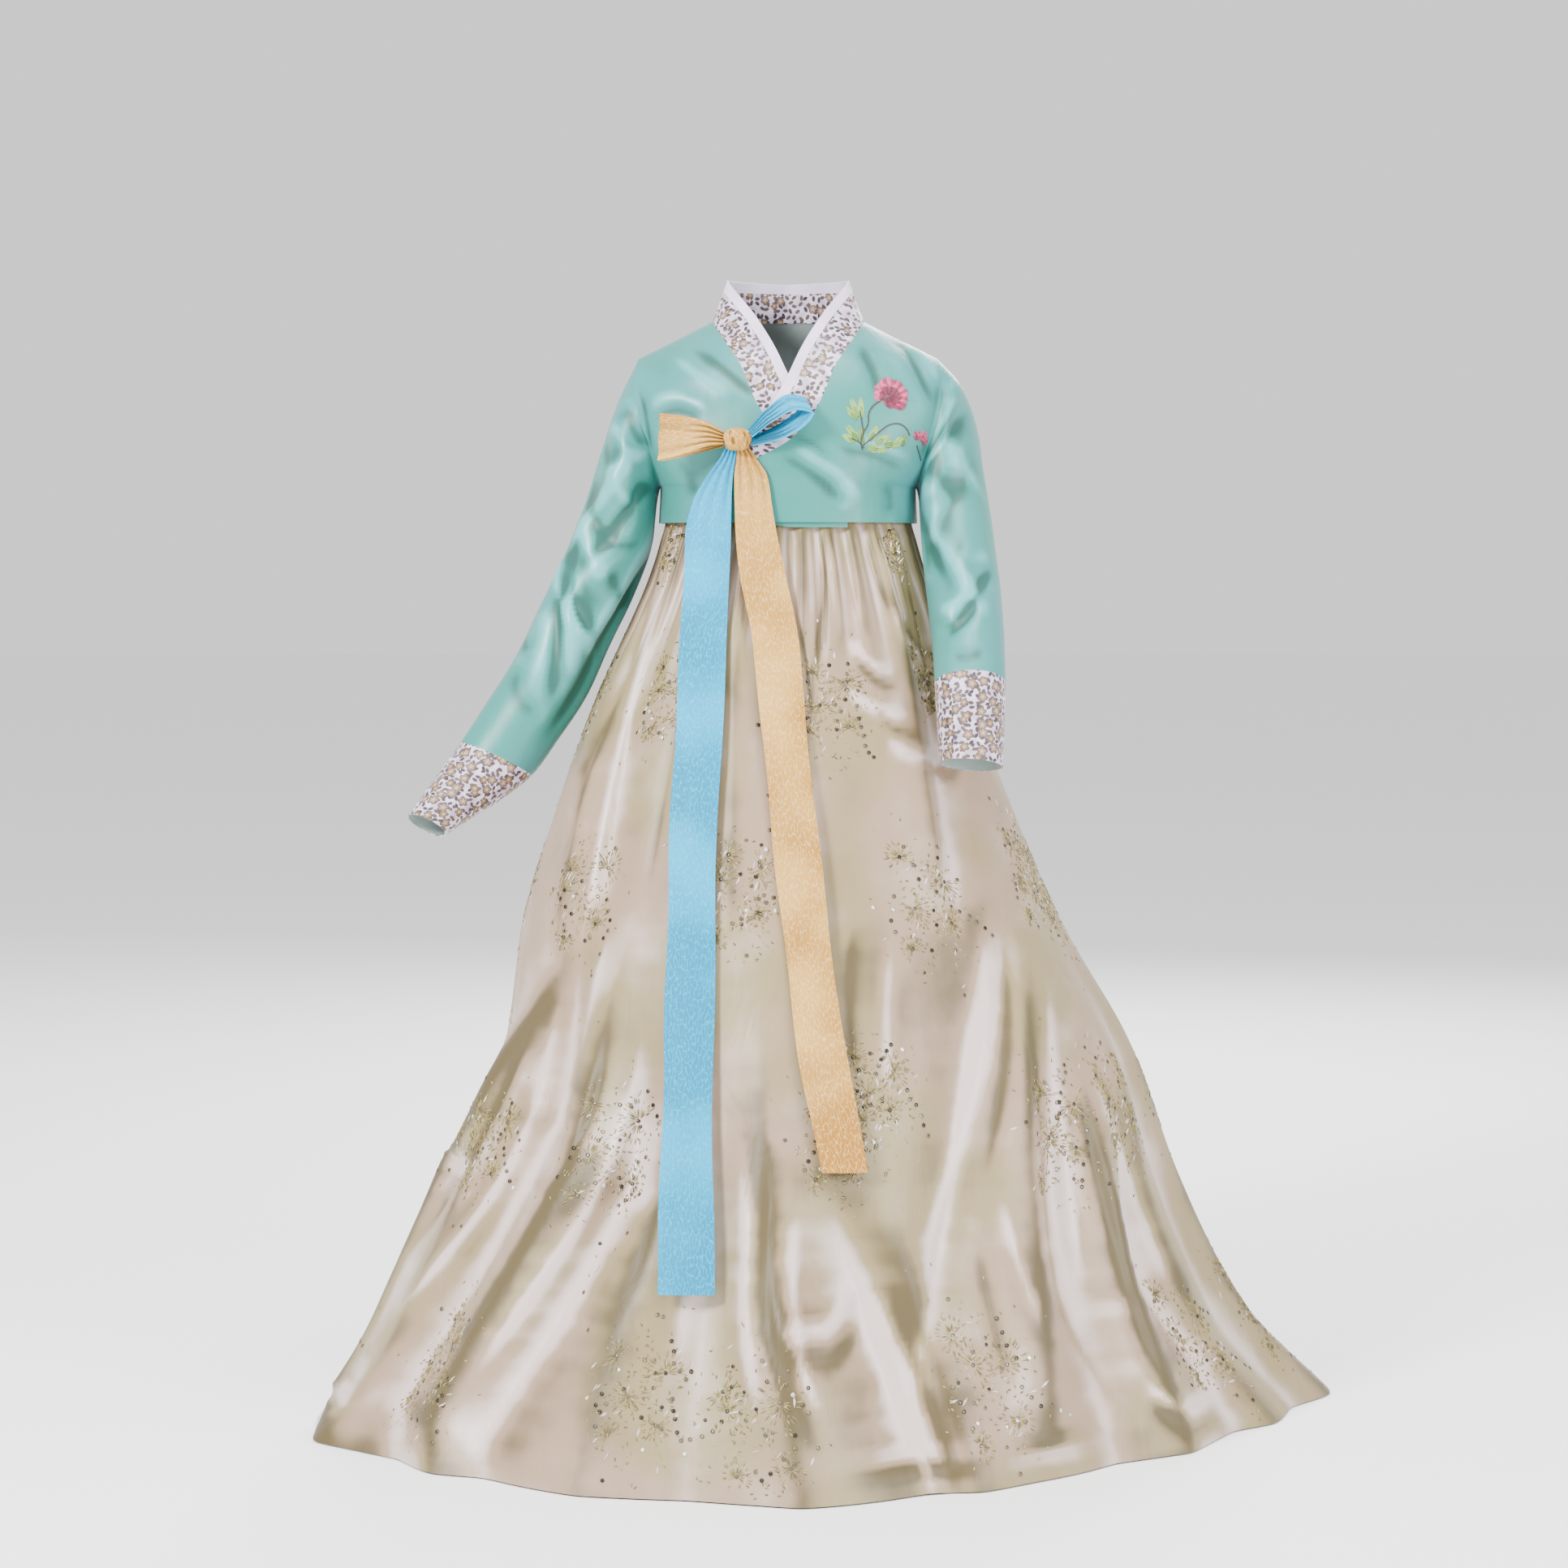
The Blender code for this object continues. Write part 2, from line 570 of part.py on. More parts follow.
def sleeve_rings(sizes, alongs, angles):
    """Rings round the sleeve's middle line, from the armpit forward, out, back and round again."""
    outer = np.stack([read(sizes, "outer_x", alongs), -read(sizes, "forward", alongs),
                      read(sizes, "outer_height", alongs)], axis=-1)
    inner = np.stack([read(sizes, "inner_x", alongs), -read(sizes, "forward", alongs),
                      read(sizes, "inner_height", alongs)], axis=-1)
    middle, reach = (outer + inner) / 2, (outer - inner) / 2
    line = unit(np.gradient(middle, axis=0))
    forward = unit(np.cross(line, reach))
    forward *= np.where(forward[:, 1] > 0, -1, 1)[:, None]
    forward *= read(sizes, "half_depth", alongs)[:, None]
    angles = np.asarray(angles)[None, :, None]
    return middle[:, None] - np.cos(angles) * reach[:, None] + np.sin(angles) * forward[:, None]


def fold_shift(folds, along, around):
    """The folds' rise at each place on a sleeve, whose way round runs from 0 to 1."""
    shift = np.zeros(np.broadcast(along, around).shape)
    for a_1, r_1, a_2, r_2, width, rise in zip(*folds.values()):
        share = np.clip((along - a_1) / (a_2 - a_1), 0, 1)
        away = around - (r_1 + (r_2 - r_1) * share)
        away = (away + 0.5) % 1 - 0.5
        ends = ease(0, SLEEVE_FOLD_ENDS, share) * ease(0, SLEEVE_FOLD_ENDS, 1 - share)
        shift += rise * ends * np.exp(-(away / width) ** 2)
    return shift


def sleeve_grid(sizes, folds, armhole):
    """The sleeve and its cuff as one tube of points that starts on the armhole."""
    count = 2 * HIGH_ROWS
    angles = np.arange(count) * 2 * math.pi / count
    alongs = np.concatenate([np.linspace(0, 1, SLEEVE_ROWS + 1), np.linspace(1, 1.2, CUFF_ROWS + 1)[1:]])
    points = sleeve_rings(sizes, alongs, angles)
    fade = (1 - ease(0, ARMHOLE_FADE, alongs))[:, None, None]
    points += (armhole - points[0])[None] * fade
    normals = surface_normals(points, around=True)
    outward = points - points.mean(axis=1, keepdims=True)
    normals = facing(normals, outward)
    shift = fold_shift(folds, alongs[:, None], (np.arange(count) / count)[None])
    points = points + normals * shift[..., None]
    normals = facing(surface_normals(points, around=True), outward)
    return points, normals


# The skirt

def skirt_plan(height):
    """The skirt's smooth outline at one height, starting at the back and passing the wearer's right."""
    left, right = read(SKIRT, "left", height), read(SKIRT, "right", height)
    front, back = read(SKIRT, "front", height), read(SKIRT, "back", height)
    power = 2 / read(SKIRT, "squareness", height)
    turn = np.linspace(0, 2 * math.pi, 1441)
    s, c = np.sin(turn), np.cos(turn)
    out = -np.sign(s) * np.abs(s) ** power
    away = np.sign(c) * np.abs(c) ** power
    x = (left + right) / 2 + (right - left) / 2 * out
    y = np.where(away > 0, back, front) * away + read(SKIRT, "twist", height) * (x - (left + right) / 2)
    return x, y


def plan_lengths(x, y):
    lengths = np.concatenate([[0], np.cumsum(np.hypot(np.diff(x), np.diff(y)))])
    return lengths / lengths[-1], lengths[-1]


def fold_round(x, y, share, at_x, side):
    """Where on the outline, as a share of the way round, the front or back passes over at_x."""
    front = (share > 0.25) & (share < 0.75)
    chosen = front if side == "front" else ~front
    return share[chosen][np.argmin(np.abs(x[chosen] - at_x))]


def skirt_shift(height, share, x, y, plan_share, length):
    """The rise of the pleats and folds round the skirt at one height."""
    fade = ease(PLEAT_END, PLEAT_FULL, height)
    shift = PLEAT_DEPTH * fade * np.cos(2 * math.pi * PLEATS * share)
    for side, folds in (("front", FRONT_FOLDS), ("back", BACK_FOLDS)):
        for x_1, h_1, x_2, h_2, x_3, h_3, width, rise in zip(*folds.values()):
            if height > h_1 or height < h_3 - FOLD_RUN_OUT:
                continue
            middle_x = np.interp(height, (h_3, h_2, h_1), (x_3, x_2, x_1))
            middle = fold_round(x, y, plan_share, middle_x, side)
            away = (share - middle + 0.5) % 1 - 0.5
            ends = ease(0, FOLD_START, (h_1 - height) / (h_1 - h_3))
            ends = ends * (HEM_FOLDS + (1 - HEM_FOLDS) * ease(0, HEM_ZONE, height))
            if h_3 > FOLD_HIGH_END:
                ends *= ease(0, FOLD_RUN_OUT_SHARE, (height - h_3 + FOLD_RUN_OUT) / (h_1 - h_3))
            shift = shift + rise * ends * np.exp(-(away * length / width / FOLD_WIDENING) ** 2)
    return shift


def skirt_ring(height, shares):
    x, y = skirt_plan(height)
    plan_share, length = plan_lengths(x, y)
    px, py = np.interp(shares, plan_share, x), np.interp(shares, plan_share, y)
    step = 1 / 720
    tx = np.interp((shares + step) % 1, plan_share, x) - np.interp((shares - step) % 1, plan_share, x)
    ty = np.interp((shares + step) % 1, plan_share, y) - np.interp((shares - step) % 1, plan_share, y)
    shift = skirt_shift(height, shares, x, y, plan_share, length)
    size = np.hypot(tx, ty)
    return np.stack([px - ty / size * shift, py + tx / size * shift, 0 * px + height], axis=-1)


def skirt_grid():
    shares = np.arange(SKIRT_COLUMNS) / SKIRT_COLUMNS
    down = np.linspace(0, 1, SKIRT_ROWS + 1) ** ROW_CROWDING
    heights = SKIRT_TOP + (SKIRT_HEM - SKIRT_TOP) * down
    points = np.stack([skirt_ring(height, shares) for height in heights])
    outward = points - points.mean(axis=1, keepdims=True)
    return points, facing(surface_normals(points, around=True), outward)


def add_skirt():
    points, normals = skirt_grid()
    starts = sorted(SKIRT_SEAMS.items(), key=lambda item: item[1])
    for (name, start), (_, end) in zip(starts, starts[1:] + starts[:1]):
        count = (end - start) % SKIRT_COLUMNS
        columns = (start + np.arange(count + 1)) % SKIRT_COLUMNS
        outer = pull_back(points[:, columns], ("first_row", "first_column", "last_column"))
        wall(name, outer, normals[:, columns], SKIRT_WALL, CHAMPAGNE)
    return points


def add_chest_band():
    """The plain band that the skirt hangs from, hidden by the jacket."""
    smooth = skirt_ring(SKIRT_TOP, np.arange(0, SKIRT_COLUMNS, 2) / SKIRT_COLUMNS)
    smooth[:, :2] = skirt_plan_points(SKIRT_TOP, len(smooth))
    top = smooth.copy()
    top[:, 2] = CHEST_BAND_TOP
    top[:, :2] *= CHEST_BAND_TAPER
    points = np.stack([smooth, (smooth + top) / 2, top])
    points[0, :, 2] += SEAM_GAP
    outward = points - points.mean(axis=1, keepdims=True)
    normals = facing(surface_normals(points, around=True), outward)
    wall("chima_band", points, normals, BAND_WALL, COTTON, around=True)


def skirt_plan_points(height, count):
    x, y = skirt_plan(height)
    share, _ = plan_lengths(x, y)
    at = np.arange(count) / count
    return np.stack([np.interp(at, share, x), np.interp(at, share, y)], axis=-1)


def chest_band_depth(out, side):
    """How far the chest band's top edge stands before or behind the shoulders' plane."""
    half = (read(SKIRT, "right", SKIRT_TOP) - read(SKIRT, "left", SKIRT_TOP)) / 2 * CHEST_BAND_TAPER
    squareness = read(SKIRT, "squareness", SKIRT_TOP)
    across = (1 - (np.abs(out) / half) ** squareness) ** (1 / squareness)
    return read(SKIRT, side, SKIRT_TOP) * CHEST_BAND_TAPER * across


def strap_half(across, side):
    """One edge or middle line of a strap, from the chest band up to the shoulder."""
    upward = np.sin(math.pi / 2 * np.linspace(0, 1, STRAP_ROWS))
    out = STRAP_FOOT + (STRAP_HEAD - STRAP_FOOT) * upward + STRAP_WIDTH * across
    foot = CHEST_BAND_TOP + LAYER_GAP
    heights = foot + (shoulder_line(out) - STRAP_INSET - foot) * upward
    on_band = chest_band_depth(STRAP_FOOT + STRAP_WIDTH * across, side)
    under_jacket = jacket_depth(out, heights + STRAP_INSET, side) * STRAP_SHRINK
    depth = on_band + (under_jacket - on_band) * ease(0, STRAP_LEAVES_BAND, upward)
    return np.stack([out, depth if side == "back" else -depth, heights], axis=-1)


def add_straps():
    """Plain shoulder straps from the chest band, over the shoulders, under the jacket."""
    columns = []
    for across in (0.0, 0.5, 1.0):
        columns.append(np.concatenate([strap_half(across, "front"), strap_half(across, "back")[-2::-1]]))
    points = np.stack(columns, axis=1)
    normals = facing(surface_normals(points), points - np.array([0, 0, CHEST_BAND_TOP]))
    for name, hand in (("chima_strap_left", 1), ("chima_strap_right", -1)):
        mirror = np.array([hand, 1, 1])
        wall(name, points * mirror, normals * mirror, JACKET_WALL, COTTON)


# The bow

def front_reach(left, right, height, skirt):
    """How far forward the clothes stand between two x places, at and near one height."""
    reach = 0.0
    for x in np.linspace(left - REACH_MARGIN, right + REACH_MARGIN, 9):
        if height > JACKET_HEM - REACH_OVERLAP:
            near = max(height, JACKET_HEM)
            reach = max(reach, jacket_depth(x, near, "front") + OVERLAP_LIFT)
    if height < JACKET_HEM + REACH_OVERLAP:
        for row in skirt:
            if abs(row[0, 2] - height) < REACH_ROWS:
                inside = row[(row[:, 0] > left - REACH_SIDE) & (row[:, 0] < right + REACH_SIDE)]
                slope = np.interp(height, SLOPE_CHANGES, (SKIRT_SLOPE_LOW, SKIRT_SLOPE_HIGH))
                reach = max(reach, (-inside[:, 1]).max() - slope * max(0, height - row[0, 2]))
    return reach


def add_tail(name, sizes, skirt, look, at_knot):
    """A ribbon tail that hangs from the knot and leans on the skirt."""
    top, bottom = sizes["height"].max(), sizes["height"].min()
    heights = np.linspace(top, bottom, round((top - bottom) / TAIL_STEP) + 1)
    left, right = read(sizes, "left", heights), read(sizes, "right", heights)
    reach = np.array([front_reach(*place, skirt) for place in zip(left, right, heights)])
    reach = np.maximum.accumulate(reach)
    reach = np.convolve(np.pad(reach, 1, mode="edge"), (0.25, 0.5, 0.25), mode="valid")
    reach += at_knot + (TAIL_CLEARANCE - at_knot) * ease(0, TAIL_SETTLES_IN, top - heights)
    shares = np.linspace(0, 1, STRIP_POINTS)
    x = left[:, None] * (1 - shares) + right[:, None] * shares
    below = (top - heights)[:, None]
    crown = TAIL_CROWN * np.sin(math.pi * shares)[None] * ease(0, TAIL_CROWN_FROM, below)
    y = -(reach[:, None] + crown)
    points = np.stack([x, y, heights[:, None] + 0 * x], axis=-1)
    normals = facing(surface_normals(points), np.array([0, -1, 0.0]))
    wall(name, points, normals, RIBBON_WALL, look)


def chest_at(x, height):
    return jacket_depth(x, height, "front") + OVERLAP_LIFT


def add_loop(name, sizes, look, upright):
    """A loop of the bow: a strip that leaves the knot, turns and comes back beneath itself."""
    alongs = np.linspace(0, 1, LOOP_POINTS)
    x, height = read(sizes, "x", alongs), read(sizes, "height", alongs)
    half = read(sizes, "half_width", alongs)
    base = chest_at(KNOT_CENTRE[0], KNOT_CENTRE[1])
    forward = base + read(sizes, "forward", alongs)
    middle = np.stack([x, -forward, height], axis=-1)
    across = np.array(upright) * half[:, None]
    shares = np.linspace(-1, 1, STRIP_POINTS)
    points = middle[:, None] + across[:, None] * shares[None, :, None]
    outward = points - middle.mean(axis=0)
    normals = facing(surface_normals(points), outward)
    wall(name, points, normals, RIBBON_WALL, look)


def add_knot():
    """The knot, a firm roll of ribbon on the end of the over collar."""
    x, height = KNOT_CENTRE
    y = -(chest_at(x, height) + KNOT_HALF[1] + KNOT_STANDS_OFF)
    rings, sides = 7, 12
    tilt = np.linspace(-1, 1, rings + 2)[1:-1] * math.pi / 2 * KNOT_POLE
    turn = np.arange(sides) * 2 * math.pi / sides
    girth = np.cos(tilt)[:, None] ** KNOT_ROUND
    across = np.sign(np.cos(turn)) * np.abs(np.cos(turn)) ** KNOT_SQUARE
    away = np.sign(np.sin(turn)) * np.abs(np.sin(turn)) ** KNOT_SQUARE
    grid = np.stack([
        girth * across * KNOT_HALF[0],
        girth * away * KNOT_HALF[1],
        np.sin(tilt)[:, None] * KNOT_HALF[2] + 0 * turn,
    ], axis=-1) + np.array([x, y, height])
    poles = np.array([[x, y, height - KNOT_HALF[2]], [x, y, height + KNOT_HALF[2]]])
    points = np.concatenate([grid.reshape(-1, 3), poles])
    index = np.arange(rings * sides).reshape(rings, sides)
    ahead = np.roll(index, -1, axis=1)
    faces = [(index[r, c], ahead[r, c], ahead[r + 1, c], index[r + 1, c])
             for r in range(rings - 1) for c in range(sides)]
    for pole, ring in ((rings * sides, 0), (rings * sides + 1, rings - 1)):
        faces += [(index[ring, c], ahead[ring, c], pole) for c in range(sides)]
    add_body("goreum_knot", points, faces, PEACH)


# Putting it together

def add_jacket():
    over, under, back = front_grid(1), front_grid(-1), back_grid()
    collar = collar_grid(over, under, back)
    left_hole = np.concatenate([over[LOW_ROWS:, 0], back[LOW_ROWS:, 0][::-1][1:-1]])
    right_hole = np.concatenate([under[LOW_ROWS:, 0], back[LOW_ROWS:, -1][::-1][1:-1]])
    left, left_normals = sleeve_grid(LEFT_SLEEVE, LEFT_FOLDS, left_hole)
    right, right_normals = sleeve_grid(RIGHT_SLEEVE, RIGHT_FOLDS, right_hole)
    front_way, back_way = np.array([0, -1, 0.0]), np.array([0, 1.0, 0])
    over_normals = facing(surface_normals(over), front_way)
    under_normals = facing(surface_normals(under), front_way)
    back_normals = facing(surface_normals(back), back_way)
    collar_normals = facing(surface_normals(collar), collar - collar.mean(axis=(0, 1)))
    share_normals([(over, over_normals), (under, under_normals), (back, back_normals),
                   (collar, collar_normals), (left, left_normals), (right, right_normals)])

    edges = ("first_column", "last_row")
    wall("jeogori_front_left", pull_back(over, edges + ("last_column",)), over_normals, JACKET_WALL, JADE)
    wall("jeogori_front_right", pull_back(under, edges + ("last_column",)), under_normals, JACKET_WALL, JADE)
    back_edges = ("first_column", "last_column", "last_row")
    wall("jeogori_back", pull_back(back, back_edges), back_normals, JACKET_WALL, JADE)

    for name, points, normals in (("left", left, left_normals), ("right", right, right_normals)):
        sleeve = slice(0, SLEEVE_ROWS + 1)
        cuff = slice(SLEEVE_ROWS, None)
        wall(f"sleeve_{name}", pull_back(points[sleeve], ("first_row", "last_row")), normals[sleeve],
             JACKET_WALL, JADE, around=True)
        wall(f"cuff_{name}", pull_back(points[cuff], ("first_row",)), normals[cuff],
             JACKET_WALL, FLORAL, around=True)

    wall("git", pull_back(collar[:, :4], ("first_column", "last_column")), collar_normals[:, :4],
         BAND_WALL, FLORAL)
    strip_width = np.linalg.norm(collar[:, 4] - collar[:, 3], axis=1)
    faced = np.flatnonzero(strip_width > DONGJEONG_LEAST)
    strip = slice(faced[0], faced[-1] + 1)
    wall("dongjeong", pull_back(collar[strip, 3:], ("first_column",)), collar_normals[strip, 3:],
         BAND_WALL, WHITE)


def build():
    for item in list(bpy.data.objects):
        bpy.data.objects.remove(item)
    bpy.context.collection.objects.link(bpy.data.objects.new("hanbok", None))
    add_jacket()
    skirt = add_skirt()
    add_chest_band()
    add_straps()
    add_tail("goreum_tail_blue", BLUE_TAIL, skirt, BLUE, BLUE_AT_KNOT)
    add_tail("goreum_tail_peach", PEACH_TAIL, skirt, PEACH, PEACH_AT_KNOT)
    add_loop("goreum_loop_peach", PEACH_LOOP, PEACH, upright=(0.05, 0, 1))
    add_loop("goreum_loop_blue", BLUE_LOOP, BLUE, upright=(0.15, 0.95, 0.3))
    add_knot()


build()
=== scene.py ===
# %% [markdown]
# # Dressing a korean hanbok
#
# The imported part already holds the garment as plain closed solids: a short jacket, a long skirt on
# its chest band, and a ribbon bow. This lesson loads them as a fixed frame and gives each one a thin
# shell of cloth in the same place, with the creases, the woven finish and the sewing that the solids
# leave out. The front looks along -Y and the wearer's left is at +X.

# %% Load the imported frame
import math

import bmesh
import bpy
import numpy as np
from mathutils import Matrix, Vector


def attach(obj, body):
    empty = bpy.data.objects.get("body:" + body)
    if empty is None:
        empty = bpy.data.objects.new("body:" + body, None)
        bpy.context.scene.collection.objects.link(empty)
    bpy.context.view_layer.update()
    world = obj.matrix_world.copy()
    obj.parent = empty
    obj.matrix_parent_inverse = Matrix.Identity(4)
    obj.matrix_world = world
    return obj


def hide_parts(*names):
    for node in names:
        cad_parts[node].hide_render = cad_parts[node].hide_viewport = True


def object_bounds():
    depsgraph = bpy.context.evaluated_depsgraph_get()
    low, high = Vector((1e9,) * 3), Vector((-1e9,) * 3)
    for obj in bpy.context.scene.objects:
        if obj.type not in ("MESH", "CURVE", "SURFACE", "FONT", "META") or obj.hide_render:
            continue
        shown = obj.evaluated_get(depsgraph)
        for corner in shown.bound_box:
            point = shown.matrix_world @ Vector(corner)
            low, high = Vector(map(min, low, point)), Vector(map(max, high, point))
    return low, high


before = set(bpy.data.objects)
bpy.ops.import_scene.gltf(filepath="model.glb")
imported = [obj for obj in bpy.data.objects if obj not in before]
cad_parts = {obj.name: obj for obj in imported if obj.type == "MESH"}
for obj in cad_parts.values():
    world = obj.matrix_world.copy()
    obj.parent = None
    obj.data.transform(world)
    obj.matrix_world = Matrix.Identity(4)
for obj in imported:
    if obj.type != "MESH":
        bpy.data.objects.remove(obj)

cad_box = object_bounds()
FLOOR_HEIGHT = cad_box[0][2] - 0.0005
SHOULDER_HEIGHT = 1.34
print("solids:", len(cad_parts), "box:", [tuple(round(v, 3) for v in corner) for corner in cad_box])

# %% [markdown]
# ## Camera, floor and light
#
# The camera stands 4.5 m in front, about chest high, and looks slightly down. A long lens keeps the
# garment's proportions, as in a catalogue picture. The floor and the background are the same pale
# grey, so the horizon hardly shows, and a few large soft lights stand for a studio's light boxes.
# Lights this large give satin its broad, gentle highlights.

# %% Camera, floor and light
CAMERA_PLACE = (-0.005, -4.5, -0.30)
CAMERA_PITCH = 3.38
CAMERA_LENS = 83.85


def stand_camera():
    camera = bpy.data.objects.new("camera", bpy.data.cameras.new("camera"))
    camera.location = CAMERA_PLACE
    camera.rotation_euler = (math.radians(90 - CAMERA_PITCH), 0, 0)
    camera.data.lens = CAMERA_LENS
    camera.data.sensor_width = 36
    camera.data.dof.use_dof = False
    bpy.context.scene.collection.objects.link(camera)
    bpy.context.scene.camera = camera


def hang_light(name, place, aim, size, power, colour=(1, 1, 1)):
    light = bpy.data.objects.new(name, bpy.data.lights.new(name, "AREA"))
    light.data.shape = "DISK"
    light.data.size = size
    light.data.energy = power
    light.data.color = colour
    light.location = place
    away = np.array(place, float) - np.array(aim, float)
    light.rotation_euler = (math.acos(away[2] / np.linalg.norm(away)), 0,
                            math.atan2(away[1], away[0]) + math.pi / 2)
    bpy.context.scene.collection.objects.link(light)


def lay_floor():
    bm = bmesh.new()
    bmesh.ops.create_circle(bm, cap_ends=True, segments=96, radius=40)
    bmesh.ops.translate(bm, verts=bm.verts, vec=(0, 0, FLOOR_HEIGHT))
    mesh = bpy.data.meshes.new("studio_floor")
    bm.to_mesh(mesh)
    bm.free()
    floor = bpy.data.objects.new("studio_floor", mesh)
    bpy.context.scene.collection.objects.link(floor)
    material = bpy.data.materials.new("studio_floor")
    material.use_nodes = True
    shader = material.node_tree.nodes["Principled BSDF"]
    shader.inputs["Base Color"].default_value = (0.97, 0.97, 0.97, 1)
    shader.inputs["Roughness"].default_value = 0.9
    mesh.materials.append(material)


stand_camera()
lay_floor()
hang_light("key_light", (-2.8, -3.4, 1.7), (0, 0, -0.5), 1.3, 430)
hang_light("fill_light", (3.0, -2.8, 0.2), (0, 0, -0.7), 1.8, 150)
hang_light("top_light", (0.3, -1.0, 2.9), (0, 0, -0.6), 2.0, 150)
hang_light("back_light", (0.8, 3.8, 1.6), (0, 0, -0.5), 2.2, 240)
world = bpy.data.worlds.new("studio")
world.use_nodes = True
world.node_tree.nodes["Background"].inputs["Color"].default_value = (0.93, 0.93, 0.94, 1)
world.node_tree.nodes["Background"].inputs["Strength"].default_value = 1.2
bpy.context.scene.world = world
print("camera, floor and four soft lights are in place")

# %% [markdown]
# ## Tables, smooth reading and grids
#
# A garment has no simple formula, but a few measured sizes at some heights describe it well. Each
# table below holds such sizes in named columns, and those with a star are in millimetres. `read` runs
# a smooth curve through a column with no overshoot. All the cloth here starts as a grid of points:
# rows down the piece and columns across it. Grids are easy to crease, to measure and to turn into a
# mesh.

# %% Helpers for tables and grids
FORWARD = np.array([0, -1.0, 0])


def numbers(text):
    """The numbers in each line of a text; lines that start with # are notes."""
    lines = [line.strip() for line in text.strip().splitlines()]
    return [[float(value) for value in line.split()] for line in lines if not line.startswith("#")]


def table(names, text):
    """A column of numbers for each name. Names with a star are given in millimetres, kept in metres."""
    columns = zip(names.split(), np.array(numbers(text)).T)
    return {name.rstrip("*"): column / 1000 if "*" in name else column for name, column in columns}


def read(sizes, column, at):
    """A column read smoothly at some values of the table's first column, with no overshoot."""
    key = next(iter(sizes))
    order = np.argsort(sizes[key])
    x, y = sizes[key][order], sizes[column][order]
    step = np.diff(x)
    slope = np.diff(y) / step
    lean = np.zeros(len(x))
    before, after = slope[:-1], slope[1:]
    same = before * after > 0
    lean[1:-1][same] = 2 * before[same] * after[same] / (before[same] + after[same])
    lean[0], lean[-1] = slope[0], slope[-1]
    at = np.clip(at, x[0], x[-1])
    i = np.clip(np.searchsorted(x, at) - 1, 0, len(step) - 1)
    t = (at - x[i]) / step[i]
    start = (1 + 2 * t) * (1 - t) ** 2 * y[i] + t * (1 - t) ** 2 * step[i] * lean[i]
    return start + t * t * (3 - 2 * t) * y[i + 1] + t * t * (t - 1) * step[i] * lean[i + 1]


def ease(start, end, at):
    """0 before start, 1 past end, and smooth between."""
    t = np.clip((np.asarray(at, float) - start) / (end - start), 0, 1)
    return t * t * (3 - 2 * t)


def unit(vectors):
    return vectors / np.maximum(np.linalg.norm(vectors, axis=-1, keepdims=True), 1e-12)


def grid_normals(points, outward, around=False):
    """Each grid point's normal, on the side that the outward vectors lie on."""
    down = np.gradient(points, axis=0)
    if around:
        across = np.roll(points, -1, axis=1) - np.roll(points, 1, axis=1)
    else:
        across = np.gradient(points, axis=1)
    normals = unit(np.cross(across, down))
    return normals if np.sum(normals * outward) > 0 else -normals


def tube_normals(points):
    """The normals of a closed tube of rings, pointing out of it."""
    return grid_normals(points, points - points.mean(axis=1, keepdims=True), around=True)


def lengths_along(line):
    """How far along a line each of its places lies."""
    return np.concatenate([[0], np.cumsum(np.linalg.norm(np.diff(line, axis=0), axis=1))])


def one_normal(own, others):
    """The shared normal at a seam, but not over a sharp fold."""
    return unit(np.sum([other for other in others if other @ own > 0.3] or others, axis=0))


def relaxed(points, close=0.0036, blend=0.0016, straightenings=260, roundings=7):
    """Straightens a tube of cloth where its rings crowd, then rounds off folds that are too sharp."""
    points = points.copy()
    gaps = np.linalg.norm(np.diff(points, axis=0), axis=2)
    crowded = np.clip((close - np.minimum(gaps[1:], gaps[:-1])) / blend, 0, 1)[..., None] / 2
    for _ in range(straightenings):
        points[1:-1] += crowded * ((points[:-2] + points[2:]) / 2 - points[1:-1])
    for _ in range(roundings):
        sides = np.roll(points, 1, axis=1) + np.roll(points, -1, axis=1)
        points[1:-1] = points[1:-1] / 2 + sides[1:-1] / 8 + (points[:-2] + points[2:]) / 8
    return points


def share_at_seams(grids, join):
    """Joins the vectors of points of several grids that coincide, as they do at a seam."""
    met = {}
    keys = [[tuple(place) for place in np.round(points.reshape(-1, 3), 6) + 0.0] for points, _ in grids]
    for (_, vectors), places in zip(grids, keys):
        for place, vector in zip(places, vectors.reshape(-1, 3).copy()):
            met.setdefault(place, []).append(vector)
    for (_, vectors), places in zip(grids, keys):
        flat = vectors.reshape(-1, 3)
        for i, place in enumerate(places):
            if len(met[place]) > 1:
                flat[i] = join(flat[i], met[place])


print("a table reads smoothly:", round(float(read(table("a b", "0 0\n1 1\n2 4"), "b", 1.5)), 3))

# %% [markdown]
# ## Creases
#
# Worn satin shows long soft folds where it hangs and short ones where it turns. They could come from
# a cloth simulation, but then they fall where they like. Here each crease is a line that is drawn,
# with a half width and a rise: above 0 it is a ridge, below 0 a trough. All sizes are in
# millimetres, across from the body's centre line and up from the floor. Every piece of cloth reads
# the same lines, so a crease runs on over a seam.

# %% Helpers for creases
CAMERA_HEIGHT = SHOULDER_HEIGHT + CAMERA_PLACE[2]
CAMERA_AWAY = -CAMERA_PLACE[1]


def as_seen(points):
    """Where the camera sees each point, on the upright plane through the shoulders."""
    nearer = CAMERA_AWAY / (CAMERA_AWAY + points[..., 1])
    across = CAMERA_PLACE[0] + (points[..., 0] - CAMERA_PLACE[0]) * nearer
    return across, CAMERA_HEIGHT + (points[..., 2] - CAMERA_HEIGHT) * nearer


